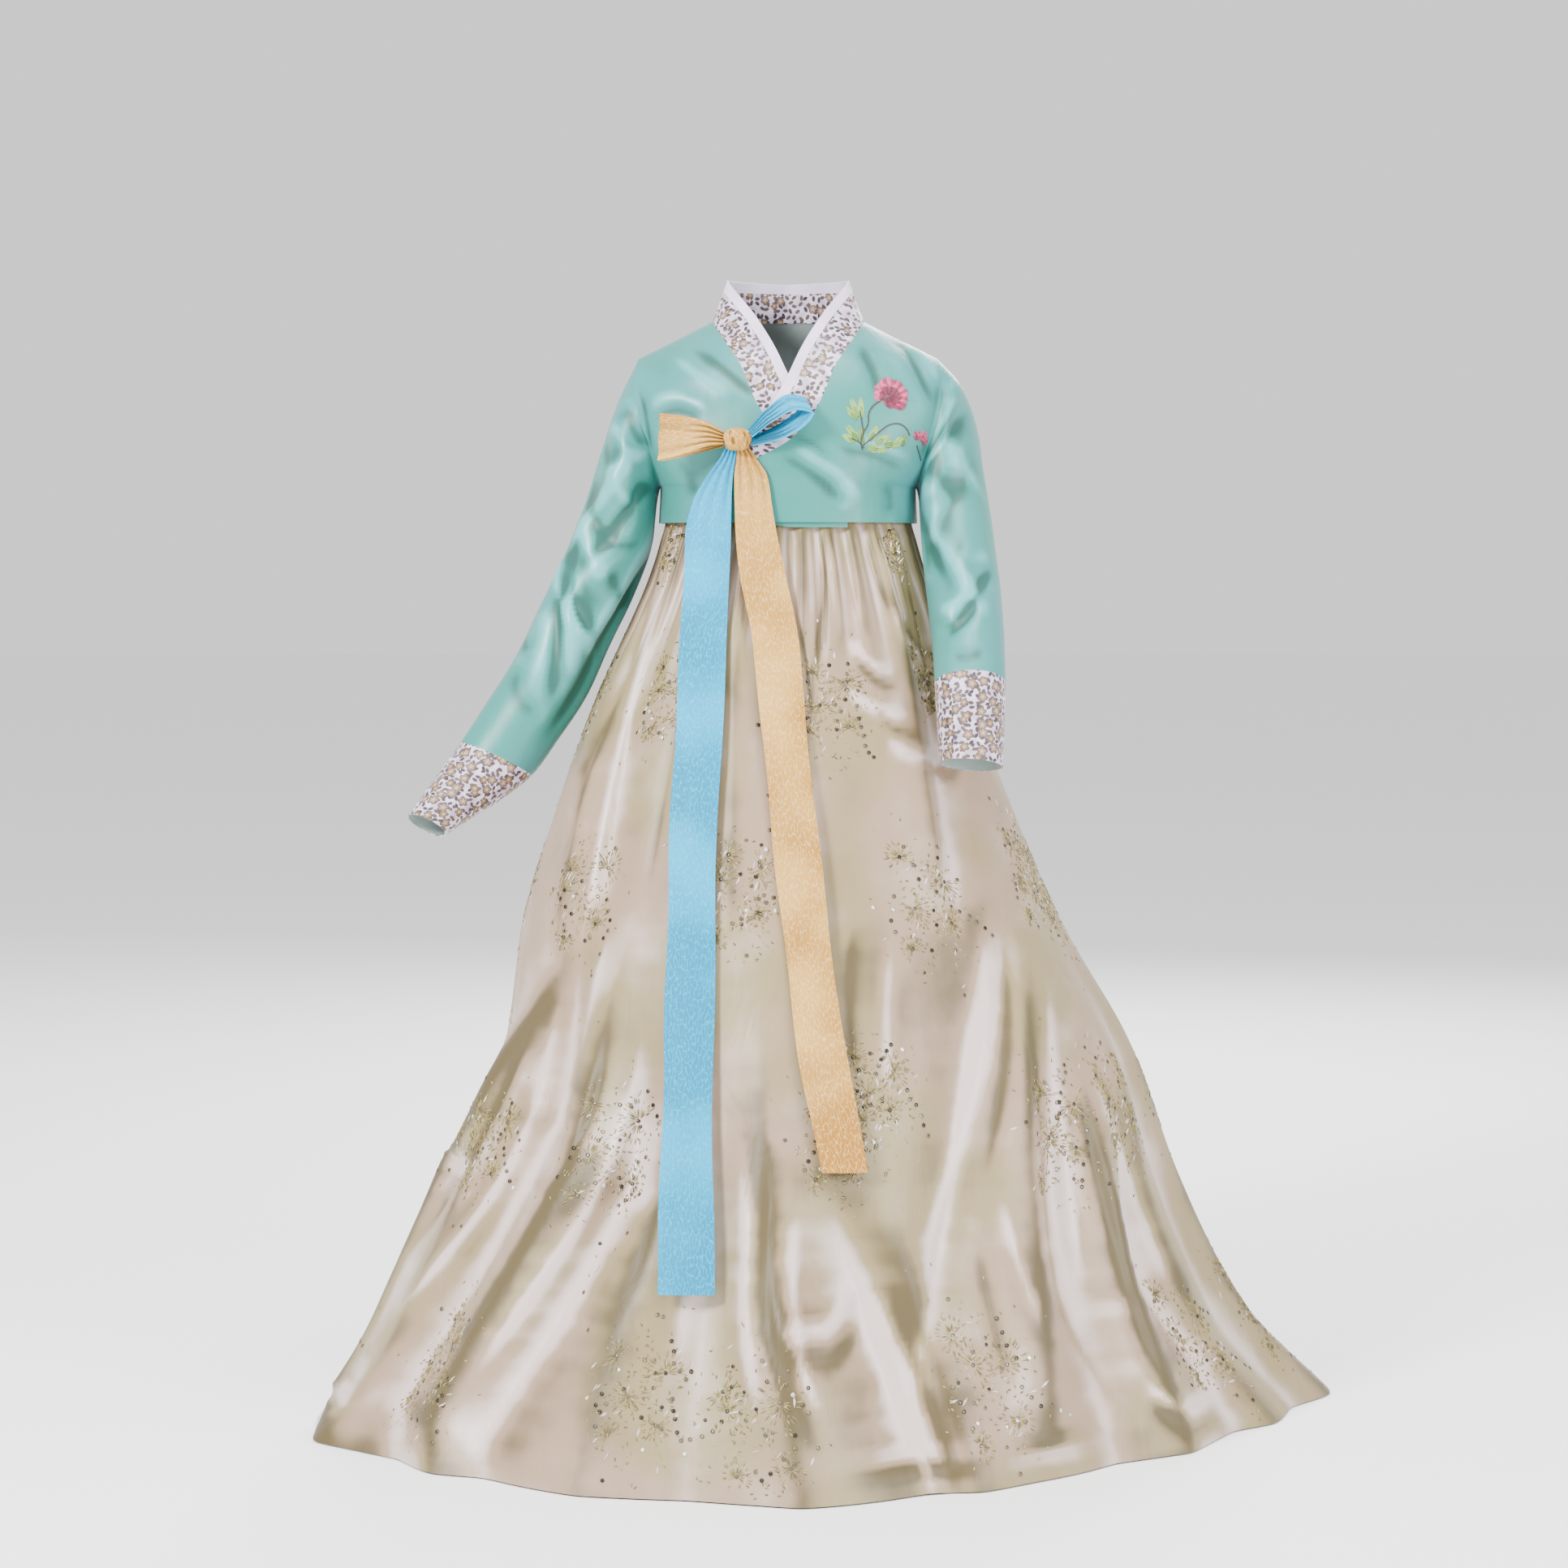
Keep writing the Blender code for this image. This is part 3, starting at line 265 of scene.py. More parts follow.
def rounded(line):
    """A line of places with its corners cut twice, so that it bends softly."""
    for _ in range(2):
        first, last = line[:-1], line[1:]
        cut = np.stack([first * 0.75 + last * 0.25, first * 0.25 + last * 0.75], axis=1).reshape(-1, 2)
        line = np.concatenate([line[:1], cut, line[-1:]])
    return line


def crease_shift(across, height, creases):
    """How far the creases lift or sink each place, in metres."""
    shift = np.zeros(np.shape(across))
    for width, rise, *places in creases:
        line = rounded(np.array(places, float).reshape(-1, 2) / 1000)
        width, rise = width / 1000, rise / 1000
        lengths = lengths_along(line)
        low, high = line.min(axis=0) - 3 * width, line.max(axis=0) + 3 * width
        near = (across > low[0]) & (across < high[0]) & (height > low[1]) & (height < high[1])
        x, h = across[near], height[near]
        away, share = np.full(x.shape, 9.0), np.zeros(x.shape)
        for (x_1, h_1), (x_2, h_2), start, end in zip(line, line[1:], lengths, lengths[1:]):
            run_x, run_h = x_2 - x_1, h_2 - h_1
            along = np.clip(((x - x_1) * run_x + (h - h_1) * run_h) / (run_x ** 2 + run_h ** 2), 0, 1)
            reach = np.hypot(x - x_1 - along * run_x, h - h_1 - along * run_h)
            nearer = reach < away
            away = np.where(nearer, reach, away)
            share = np.where(nearer, (start + along * (end - start)) / lengths[-1], share)
        ends = ease(0, 0.3, share) * ease(0, 0.3, 1 - share)
        shift[near] += rise * ends * np.exp(-(away / width) ** 1.3)
    return shift


def both_sides(points, normals, front_places, front_creases, back_creases):
    """The creases of the front on what faces forward, and those of the back on what faces back."""
    front = crease_shift(*front_places, front_creases) * ease(0.02, 0.35, -normals[..., 1])
    back = crease_shift(points[..., 0], points[..., 2], back_creases) * ease(0.02, 0.35, normals[..., 1])
    return front + back


def ridge_shade(shift, steps=(3, 8), full=0.0016, around=False):
    """Painted shade and highlight: 0 in the troughs and 1 on the ridges, for the cloth's colour to follow.
    """
    total = np.zeros(shift.shape)
    for step in steps:
        if around:
            sides = (np.roll(shift, step, axis=1) + np.roll(shift, -step, axis=1)) / 2
        else:
            wide = np.pad(shift, ((0, 0), (step, step)), mode="edge")
            sides = (wide[:, 2 * step:] + wide[:, :-2 * step]) / 2
        tall = np.pad(shift, ((step, step), (0, 0)), mode="edge")
        ends = (tall[2 * step:] + tall[:-2 * step]) / 2
        total += (shift - sides / 2 - ends / 2) / (full * step / 3)
    return 0.5 + 0.5 * np.tanh(total / len(steps))


# %% [markdown]
# ## From a grid to a shell of cloth
#
# Real cloth has two faces and a thin edge. `cloth` copies the grid inwards by the cloth's thickness,
# closes the open edges with a narrow rim, and writes a UV map in metres, so that a pattern keeps its
# real size on every piece. A Solidify modifier could add the thickness too, but building both faces
# here gives the inner one its own lining material, and the mesh is final at once.

# %% The cloth builder
finished_pieces = {}


def lengths_on(points, axis):
    """The distance along the grid's rows or columns, measured from the middle of each."""
    steps = np.linalg.norm(np.diff(points, axis=axis), axis=-1)
    start = np.zeros_like(np.take(steps, [0], axis=axis))
    total = np.concatenate([start, np.cumsum(steps, axis=axis)], axis=axis)
    return total - np.take(total, [total.shape[axis] // 2], axis=axis)


def mesh_object(name, points, faces, materials):
    mesh = bpy.data.meshes.new(name)
    mesh.from_pydata(points.tolist(), [], [tuple(face) for face in faces])
    for material in materials:
        mesh.materials.append(material)
    piece = bpy.data.objects.new(name, mesh)
    bpy.context.scene.collection.objects.link(piece)
    return piece


def cloth(name, outer, normals, thickness, materials, shade=None, around=False):
    """A closed thin shell on a grid of outer points, whose heights are above the floor."""
    rows, columns = outer.shape[:2]
    inner = outer - normals * thickness
    points = np.concatenate([outer.reshape(-1, 3), inner.reshape(-1, 3)])
    points[:, 2] -= SHOULDER_HEIGHT
    wide = np.concatenate([outer, outer[:, :1]], axis=1) if around else outer
    flat = np.stack([lengths_on(wide, 1), -lengths_on(wide, 0)], axis=-1)
    used = wide.shape[1] - 1
    place = np.arange(rows)[:, None] * columns + np.arange(used + 1)[None] % columns
    pin = np.arange(rows * (used + 1)).reshape(rows, used + 1)
    back = rows * columns
    quads, pins, kinds = [], [], []

    def quad(corners, corner_pins, kind):
        quads.append(np.stack(corners, axis=-1).reshape(-1, 4))
        pins.append(np.stack(corner_pins, axis=-1).reshape(-1, 4))
        kinds.append(np.full(quads[-1].shape[0], kind))

    def ring(grid):
        return grid[:-1, :-1], grid[:-1, 1:], grid[1:, 1:], grid[1:, :-1]

    a, b, c, d = ring(place)
    quad((a, b, c, d), ring(pin), 0)
    quad((d + back, c + back, b + back, a + back), ring(pin)[::-1], 1)
    edges = [(place[0, 1:], place[0, :-1], pin[0, 1:], pin[0, :-1]),
             (place[-1, :-1], place[-1, 1:], pin[-1, :-1], pin[-1, 1:])]
    if not around:
        edges += [(place[:-1, 0], place[1:, 0], pin[:-1, 0], pin[1:, 0]),
                  (place[1:, -1], place[:-1, -1], pin[1:, -1], pin[:-1, -1])]
    for start, end, start_pin, end_pin in edges:
        quad((start, end, end + back, start + back), (start_pin, end_pin, end_pin, start_pin), 0)
    quads, pins, kinds = np.concatenate(quads), np.concatenate(pins), np.concatenate(kinds)
    first, second, last = (points[quads[: a.size, i]] for i in (0, 1, 3))
    if np.sum(np.cross(second - first, last - first) * normals.reshape(-1, 3)[quads[: a.size, 0]]) < 0:
        quads, pins = quads[:, ::-1], pins[:, ::-1]
    piece = mesh_object(name, points, quads, materials)
    mesh = piece.data
    mesh.uv_layers.new(name="cloth").uv.foreach_set("vector", flat.reshape(-1, 2)[pins.ravel()].ravel())
    mesh.polygons.foreach_set("material_index", kinds * (len(materials) > 1))
    # The shade is stored as the fold attribute, which the materials read to paint shade into troughs and
    # highlight onto ridges.
    shade = np.full((rows, columns), 0.5) if shade is None else shade
    fold = mesh.attributes.new("fold", "FLOAT", "POINT")
    fold.data.foreach_set("value", np.tile(shade.ravel(), 2).astype(np.float32))
    mesh.shade_smooth()
    mesh.set_sharp_from_angle(angle=math.radians(65))
    area = np.linalg.norm(np.cross(second - first, last - first), axis=1).sum()
    finished_pieces[name] = piece
    print(f"{name}: {len(quads) * 2} triangles, {area:.3f} square metres")
    return piece


# %% [markdown]
# ## Node helpers
#
# Procedural materials are small programs made of nodes. `put` adds one node and fills its sockets
# with either a value or another node's output. The others are short names for the nodes used most,
# so each material below reads almost like a sentence.

# %% Node helpers
def fill(tree, node, sockets):
    """Sets or links a node's sockets by name or number."""
    for key, value in sockets.items():
        if isinstance(value, bpy.types.NodeSocket):
            tree.links.new(value, node.inputs[key])
        else:
            node.inputs[key].default_value = value
    return node


def put(tree, kind, sockets=None, **settings):
    """Adds a node, sets its properties and fills its sockets."""
    node = tree.nodes.new(kind)
    for key, value in settings.items():
        setattr(node, key, value)
    return fill(tree, node, sockets or {})


def figure(tree, operation, *values):
    return put(tree, "ShaderNodeMath", dict(enumerate(values)), operation=operation).outputs[0]


def times(tree, first, second):
    return figure(tree, "MULTIPLY", first, second)


def plus(tree, first, second):
    return figure(tree, "ADD", first, second)


def mixed(tree, share, *colours):
    """Two colours mixed by a share. Each is a socket, or red, green and blue."""
    first, second = (c if isinstance(c, bpy.types.NodeSocket) else (*c, 1) for c in colours)
    return put(tree, "ShaderNodeMix", {0: share, 6: first, 7: second}, data_type="RGBA").outputs[2]


def noise(tree, vector, scale, detail=2.0, **more):
    sockets = {"Vector": vector, "Scale": scale, "Detail": detail, **more}
    return put(tree, "ShaderNodeTexNoise", sockets).outputs["Fac"]


def marked(tree, name):
    """A number that the mesh carries at each of its points."""
    return put(tree, "ShaderNodeAttribute", attribute_name=name).outputs["Fac"]


def between(tree, value, low, high, to_low=0.0, to_high=1.0):
    sockets = {0: value, 1: low, 2: high, 3: to_low, 4: to_high}
    return put(tree, "ShaderNodeMapRange", sockets, interpolation_type="SMOOTHSTEP").outputs[0]


def new_group(name, inputs, outputs):
    """An empty shader node group with named sockets, and its input and output nodes."""
    group = bpy.data.node_groups.new(name, "ShaderNodeTree")
    for side, sockets in (("INPUT", inputs), ("OUTPUT", outputs)):
        for socket, kind in sockets.items():
            group.interface.new_socket(socket, in_out=side, socket_type=f"NodeSocket{kind}")
    return group, group.nodes.new("NodeGroupInput").outputs, group.nodes.new("NodeGroupOutput").inputs


def stretched(tree, vector, *scale):
    return put(tree, "ShaderNodeMapping", {"Vector": vector, "Scale": scale}).outputs[0]


# %% [markdown]
# ## Three effects that the cloths share
#
# Every cloth here has a weave. The satins also have painted highlight on their ridges and painted
# shade in their troughs: their colour turns paler and deeper by the fold attribute. The ribbons are
# woven with a figure. Each effect is one node group with named inputs, which each material fills
# with its own sizes and colours. The groups give out only colours and heights: the shader stays in
# the material.

# %% Weave, satin and figured weave
def weave_group():
    """Crossing threads with a few thicker ones, as a height."""
    group, given, result = new_group(
        "woven_threads", {"Vector": "Vector", "Thread": "Float", "Slub": "Float"}, {"Height": "Float"})
    pace = figure(group, "DIVIDE", 0.314, given["Thread"])
    warp = put(group, "ShaderNodeTexWave", {"Vector": given["Vector"], "Scale": pace}, bands_direction="X")
    weft = put(group, "ShaderNodeTexWave", {"Vector": given["Vector"], "Scale": pace}, bands_direction="Y")
    crossing = times(group, plus(group, warp.outputs["Fac"], weft.outputs["Fac"]), 0.5)
    slub = noise(group, stretched(group, given["Vector"], 22, 620, 1), 1.0)
    thick = between(group, slub, 0.5, 0.78)
    total = plus(group, crossing, times(group, thick, given["Slub"]))
    group.links.new(total, result["Height"])
    return group


def satin_group():
    """Three shades of one colour: painted shade in the troughs and painted highlight on the ridges, by the
    fold attribute, moved by slow random drifts.
    """
    group, given, result = new_group(
        "satin_shades",
        {"Vector": "Vector", "Fold": "Float", "Deep": "Color", "Middle": "Color", "Other": "Color",
         "Pale": "Color", "Drift": "Float"},
        {"Color": "Color", "Roughness": "Float", "Crumple": "Float"})
    drift = noise(group, given["Vector"], 9.0, 3.0)
    away = times(group, figure(group, "SUBTRACT", drift, 0.5), given["Drift"])
    level = plus(group, given["Fold"], away)
    slow = noise(group, given["Vector"], 5.0, 1.0)
    middle = mixed(group, between(group, slow, 0.42, 0.58), given["Middle"], given["Other"])
    # Painted shade and highlight: low fold values mix towards the trough colour, high ones towards the
    # ridge colour.
    lower = mixed(group, between(group, level, 0.08, 0.5), given["Deep"], middle)
    whole = mixed(group, between(group, level, 0.5, 0.95), lower, given["Pale"])
    group.links.new(whole, result["Color"])
    group.links.new(between(group, level, 0.1, 0.9, 0.48, 0.36), result["Roughness"])
    crumple = noise(group, stretched(group, given["Vector"], 26, 26, 6), 1.0, 3.0, Distortion=0.8)
    group.links.new(crumple, result["Crumple"])
    return group


def figured_group():
    """A ribbon's woven figure: fine broken veins that branch like crumpled leaves."""
    group, given, result = new_group(
        "figured_weave", {"Vector": "Vector", "Vein": "Float", "Wander": "Float"}, {"Mask": "Float"})
    wander = put(group, "ShaderNodeTexNoise", {"Vector": given["Vector"], "Scale": 90.0, "Detail": 3.0})
    push = put(group, "ShaderNodeVectorMath", {0: wander.outputs["Color"], "Scale": given["Wander"]},
               operation="SCALE").outputs[0]
    longer = stretched(group, given["Vector"], 1.0, 0.35, 1.0)
    bent = put(group, "ShaderNodeVectorMath", {0: longer, 1: push}, operation="ADD").outputs[0]
    veins = put(group, "ShaderNodeTexVoronoi",
                {"Vector": bent, "Scale": figure(group, "DIVIDE", 1.0, given["Vein"])},
                feature="DISTANCE_TO_EDGE", voronoi_dimensions="2D")
    breaks = noise(group, stretched(group, given["Vector"], 300, 160, 1), 1.0)
    shown = times(group, between(group, veins.outputs["Distance"], 0.16, 0.03),
                  between(group, breaks, 0.36, 0.58))
    group.links.new(shown, result["Mask"])
    return group


WEAVE = weave_group()
SATIN = satin_group()
FIGURED = figured_group()
print("shared effects:", WEAVE.name, SATIN.name, FIGURED.name)

# %% [markdown]
# ## The flower print
#
# The collar and the cuffs carry a white print of small brown and gold flowers with dark leaves
# between them. A Voronoi texture gives each flower its own cell and its middle. The distance and the
# angle from that middle draw five petals, and the cell's random number picks the flower's colour. A
# second, finer Voronoi draws the leaves as slanted ovals. No picture is needed, and the pattern has
# its real size because it reads the UV map in metres.

# %% The flower print's group
def spot_parts(tree, vector, spacing, random=0.85):
    """Cells on the cloth: the offset from each one's middle, in spacings, and its random numbers."""
    cells = put(tree, "ShaderNodeTexVoronoi",
                {"Vector": vector, "Scale": 1 / spacing, "Randomness": random}, voronoi_dimensions="2D")
    offset = put(tree, "ShaderNodeVectorMath", {0: vector, 1: cells.outputs["Position"]},
                 operation="SUBTRACT").outputs[0]
    apart = put(tree, "ShaderNodeSeparateXYZ", {0: offset}).outputs
    picks = put(tree, "ShaderNodeSeparateColor", {0: cells.outputs["Color"]}).outputs
    x = figure(tree, "DIVIDE", apart[0], spacing)
    y = figure(tree, "DIVIDE", apart[1], spacing)
    return x, y, picks


def petals(tree, x, y, pick, size):
    """Five round petals: below 1 inside the flower, above 1 outside."""
    angle = figure(tree, "ARCTAN2", y, x)
    turned = plus(tree, times(tree, angle, 2.5), times(tree, pick, 6.0))
    wave = figure(tree, "ABSOLUTE", figure(tree, "COSINE", turned))
    edge = times(tree, plus(tree, times(tree, wave, 0.38), 0.62), size)
    reach = figure(tree, "SQRT", plus(tree, times(tree, x, x), times(tree, y, y)))
    return figure(tree, "DIVIDE", reach, edge)


def leaf(tree, x, y, pick, length, width):
    """A slanted oval: below 1 inside."""
    angle = times(tree, pick, 12.0)
    cosine, sine = figure(tree, "COSINE", angle), figure(tree, "SINE", angle)
    along = plus(tree, times(tree, x, cosine), times(tree, y, sine))
    across = figure(tree, "SUBTRACT", times(tree, y, cosine), times(tree, x, sine))
    long, wide = figure(tree, "DIVIDE", along, length), figure(tree, "DIVIDE", across, width)
    return plus(tree, times(tree, long, long), times(tree, wide, wide))


def print_group(name, flower_spacing, flower_share, leaf_spacing, leaf_share):
    group, given, result = new_group(name, {"Vector": "Vector"}, {"Color": "Color", "Height": "Float"})
    ground_share = between(group, noise(group, given["Vector"], 60.0), 0.35, 0.65)
    ground = mixed(group, ground_share, (0.66, 0.58, 0.71), (0.42, 0.34, 0.45))
    x, y, picks = spot_parts(group, given["Vector"], leaf_spacing)
    oval = leaf(group, x, y, picks[1], 0.50, 0.30)
    here = figure(group, "LESS_THAN", picks[0], leaf_share)
    in_leaf = times(group, between(group, oval, 1.1, 0.8), here)
    leaf_colour = mixed(group, picks[2], (0.022, 0.013, 0.026), (0.10, 0.062, 0.055))
    coloured = mixed(group, in_leaf, ground, leaf_colour)
    x, y, picks = spot_parts(group, given["Vector"], flower_spacing, 0.9)
    inside = petals(group, x, y, picks[1], between(group, picks[0], 0.0, 1.0, 0.34, 0.5))
    petal = mixed(group, between(group, picks[0], 0.2, 0.8), (0.24, 0.145, 0.06), (0.30, 0.20, 0.15))
    veined = mixed(group, between(group, inside, 0.35, 1.0), petal, (0.060, 0.033, 0.030))
    eyed = mixed(group, between(group, inside, 0.34, 0.24), veined, (0.46, 0.33, 0.13))
    shown = times(group, between(group, inside, 1.08, 0.98),
                  figure(group, "LESS_THAN", picks[2], flower_share))
    group.links.new(mixed(group, shown, coloured, eyed), result["Color"])
    group.links.new(plus(group, times(group, shown, 0.6), in_leaf), result["Height"])
    return group


CUFF_PRINT = print_group("cuff_print", 0.0155, 0.74, 0.0070, 0.95)
COLLAR_PRINT = print_group("collar_print", 0.014, 0.40, 0.0076, 0.90)
print("flower prints for the cuffs and the collar are ready")

# %% [markdown]
# ## The cloths
#
# Satin is smooth cloth with a soft shine: a middling roughness, a little sheen and a fine weave in
# its bump. The print and the white facing are duller. Each material takes its colour from the groups
# above, and its fixed values are set on the shader's own sockets, so that they survive an export.

# %% Materials for the cloths
def start_material(name, **fixed):
    material = bpy.data.materials.new(name)
    material.use_nodes = True
    tree = material.node_tree
    shader = tree.nodes["Principled BSDF"]
    for socket, value in fixed.items():
        shader.inputs[socket.replace("_", " ")].default_value = value
    coordinates = put(tree, "ShaderNodeTexCoord").outputs
    return material, tree, shader, coordinates


def bumped(tree, shader, heights):
    """Adds up bumps, each a height with its depth in metres and a strength, on the shader's normal."""
    normal = None
    for height, depth, strength in heights:
        sockets = {"Height": height, "Distance": depth, "Strength": strength}
        if normal is not None:
            sockets["Normal"] = normal
        normal = put(tree, "ShaderNodeBump", sockets).outputs[0]
    tree.links.new(normal, shader.inputs["Normal"])


def shared(tree, group, **sockets):
    """One of the shared effects, with its sockets filled."""
    return put(tree, "ShaderNodeGroup", sockets, node_tree=group).outputs


def woven(tree, coordinates, thread, slub):
    return shared(tree, WEAVE, Vector=coordinates["UV"], Thread=thread, Slub=slub)["Height"]


def satin_cloth(name, deep, middle, other, pale, drift, crumple_depth):
    material, tree, shader, coordinates = start_material(name, Roughness=0.36, Sheen_Weight=0.08)
    # deep is the colour of the painted shade in the troughs, pale that of the painted highlight on the
    # ridges.
    shades = shared(tree, SATIN, Vector=coordinates["Object"], Fold=marked(tree, "fold"), Drift=drift,
                    Deep=(*deep, 1), Middle=(*middle, 1), Other=(*other, 1), Pale=(*pale, 1))
    fill(tree, shader, {"Base Color": shades["Color"], "Roughness": shades["Roughness"]})
    threads = woven(tree, coordinates, 0.0011, 1.2)
    bumped(tree, shader, [(threads, 0.0004, 0.10), (shades["Crumple"], crumple_depth, 0.5)])
    return material


def printed_cloth(name, group, roughness):
    material, tree, shader, coordinates = start_material(name, Roughness=roughness, Sheen_Weight=0.15)
    pattern = shared(tree, group, Vector=coordinates["UV"])
    tree.links.new(pattern["Color"], shader.inputs["Base Color"])
    threads = woven(tree, coordinates, 0.0009, 0.4)
    bumped(tree, shader, [(threads, 0.0003, 0.12), (pattern["Height"], 0.0004, 0.35)])
    return material


def plain_cloth(name, first, second, roughness):
    material, tree, shader, coordinates = start_material(name, Roughness=roughness, Sheen_Weight=0.2)
    share = between(tree, noise(tree, coordinates["Object"], 24.0, 4.0), 0.3, 0.7)
    colour = mixed(tree, share, first, second)
    tree.links.new(colour, shader.inputs["Base Color"])
    bumped(tree, shader, [(woven(tree, coordinates, 0.0009, 0.6), 0.0004, 0.2)])
    return material


def ribbon_cloth(name, deep, middle, pale, vein, wander, figure_share):
    material, tree, shader, coordinates = start_material(name, Roughness=0.5, Specular_IOR_Level=0.12)
    figures = shared(tree, FIGURED, Vector=coordinates["UV"], Vein=vein, Wander=wander)["Mask"]
    drift = between(tree, noise(tree, coordinates["Object"], 7.0), 0.35, 0.65)
    lit = mixed(tree, times(tree, figures, figure_share), mixed(tree, drift, deep, middle), pale)
    # hollow is a darker copy of the ribbon's colour: painted shade in the troughs that the fold attribute
    # marks.
    hollow = [share * 0.45 for share in deep]
    colour = mixed(tree, between(tree, marked(tree, "fold"), 0.05, 0.42), hollow, lit)
    fill(tree, shader, {"Base Color": colour, "Roughness": between(tree, figures, 0.0, 1.0, 0.56, 0.40)})
    threads = woven(tree, coordinates, 0.0009, 0.8)
    bumped(tree, shader, [(threads, 0.0003, 0.15), (figures, 0.0003, 0.4)])
    return material


# Satin colours in order: painted shade, middle, second middle, painted highlight.
jade = satin_cloth("jade_satin", (0.003, 0.08, 0.062), (0.022, 0.21, 0.18), (0.035, 0.22, 0.215),
                   (0.10, 0.375, 0.385), 0.5, 0.0018)
champagne = satin_cloth("champagne_satin", (0.080, 0.056, 0.015), (0.255, 0.197, 0.092),
                        (0.305, 0.208, 0.135), (0.57, 0.46, 0.43), 0.7, 0.0028)
lining = plain_cloth("jacket_lining", (0.34, 0.42, 0.40), (0.26, 0.34, 0.32), 0.6)
cuff_print = printed_cloth("floral_cuff_print", CUFF_PRINT, 0.5)
collar_print = printed_cloth("floral_collar_print", COLLAR_PRINT, 0.38)
white = plain_cloth("white_facing", (0.72, 0.63, 0.78), (0.60, 0.51, 0.68), 0.6)
cotton = plain_cloth("band_cotton", (0.60, 0.57, 0.50), (0.52, 0.48, 0.41), 0.8)
blue = ribbon_cloth("blue_jacquard", (0.0, 0.20, 0.36), (0.0, 0.33, 0.57), (0.0, 0.51, 0.75),
                    0.0038, 0.007, 0.5)
peach = ribbon_cloth("peach_jacquard", (0.36, 0.165, 0.02), (0.57, 0.33, 0.08), (0.78, 0.56, 0.30),
                     0.0038, 0.007, 0.45)
print("cloth materials:", len(bpy.data.materials))

# %% [markdown]
# ## The jacket's body
#
# A jeogori is cut as two fronts, which lap over each other to the wearer's right, and one back. Its
# body is a soft oval that narrows to the shoulder line. `JACKET` holds its half width and its depth
# before and behind, `ARMHOLE` where the sleeves meet it, and `COLLAR` how the collar runs up the
# fronts and round the neck. These are the frame's own sizes, so the cloth lies where the solids are.

# %% Sizes of the jacket
JACKET_HEM = 1.095
ARMPIT = 1.138
SHOULDER_HALF = 0.183
NECK_HALF = 0.093
NECK_SIDE = 1.341
NECK_BACK_RISE = 0.004
SHOULDER_SLOPE = 0.5
SHOULDER_ROUND = 0.07
FLATNESS = 2.2
OVERLAP_LIFT = 0.0042
JACKET_WALL = 0.0016
BAND_WALL = 0.0022
SIDE_COLUMNS = 40
NECK_COLUMNS = 26
LOW_ROWS = 12
HIGH_ROWS = 52

JACKET = table("height* half_width* front* back*", """
    1092 159 130 105
    1138 157 130 108
    1142 160 130 108
    1153 167 130 109
    1170 178 129 110
    1193 193 128 110
    1220 208 122 110
    1250 216 112 108
    1300 225 85 98
    1340 228 55 85
    1390 230 45 80
""")
ARMHOLE = table("height* out*", """
    1138 157
    1180 168
    1220 181
    1260 187
    1296 183
""")
COLLAR = table("along seam_out* seam_height* edge_out* edge_height* edge_forward*", """
    0 -71 1155 -73 1186 126
    0.151 -36 1172 -53 1203 126
    0.331 4 1195 -23 1233 118
    0.53 36 1235 -4 1264 104
    0.737 57 1284 16 1306 80
    0.895 79 1318 40 1346 50
    1 93 1341 74 1390 0
""")

# %% [markdown]
# ## The creases of the jacket and the sleeves
#
# Each line below is one crease: its half width, its rise, and then its places, in front as the camera
# sees them and behind as they are. On the wearer's right
# arm the bent elbow throws one sharp fold with hollows above it, and curved folds hang from the
# armpit. On the left arm folds fan out from the armpit up to the shoulder. The chest carries a few
# shallow pulls between the shoulders, the bow and the armpits. The back has as many of its own.

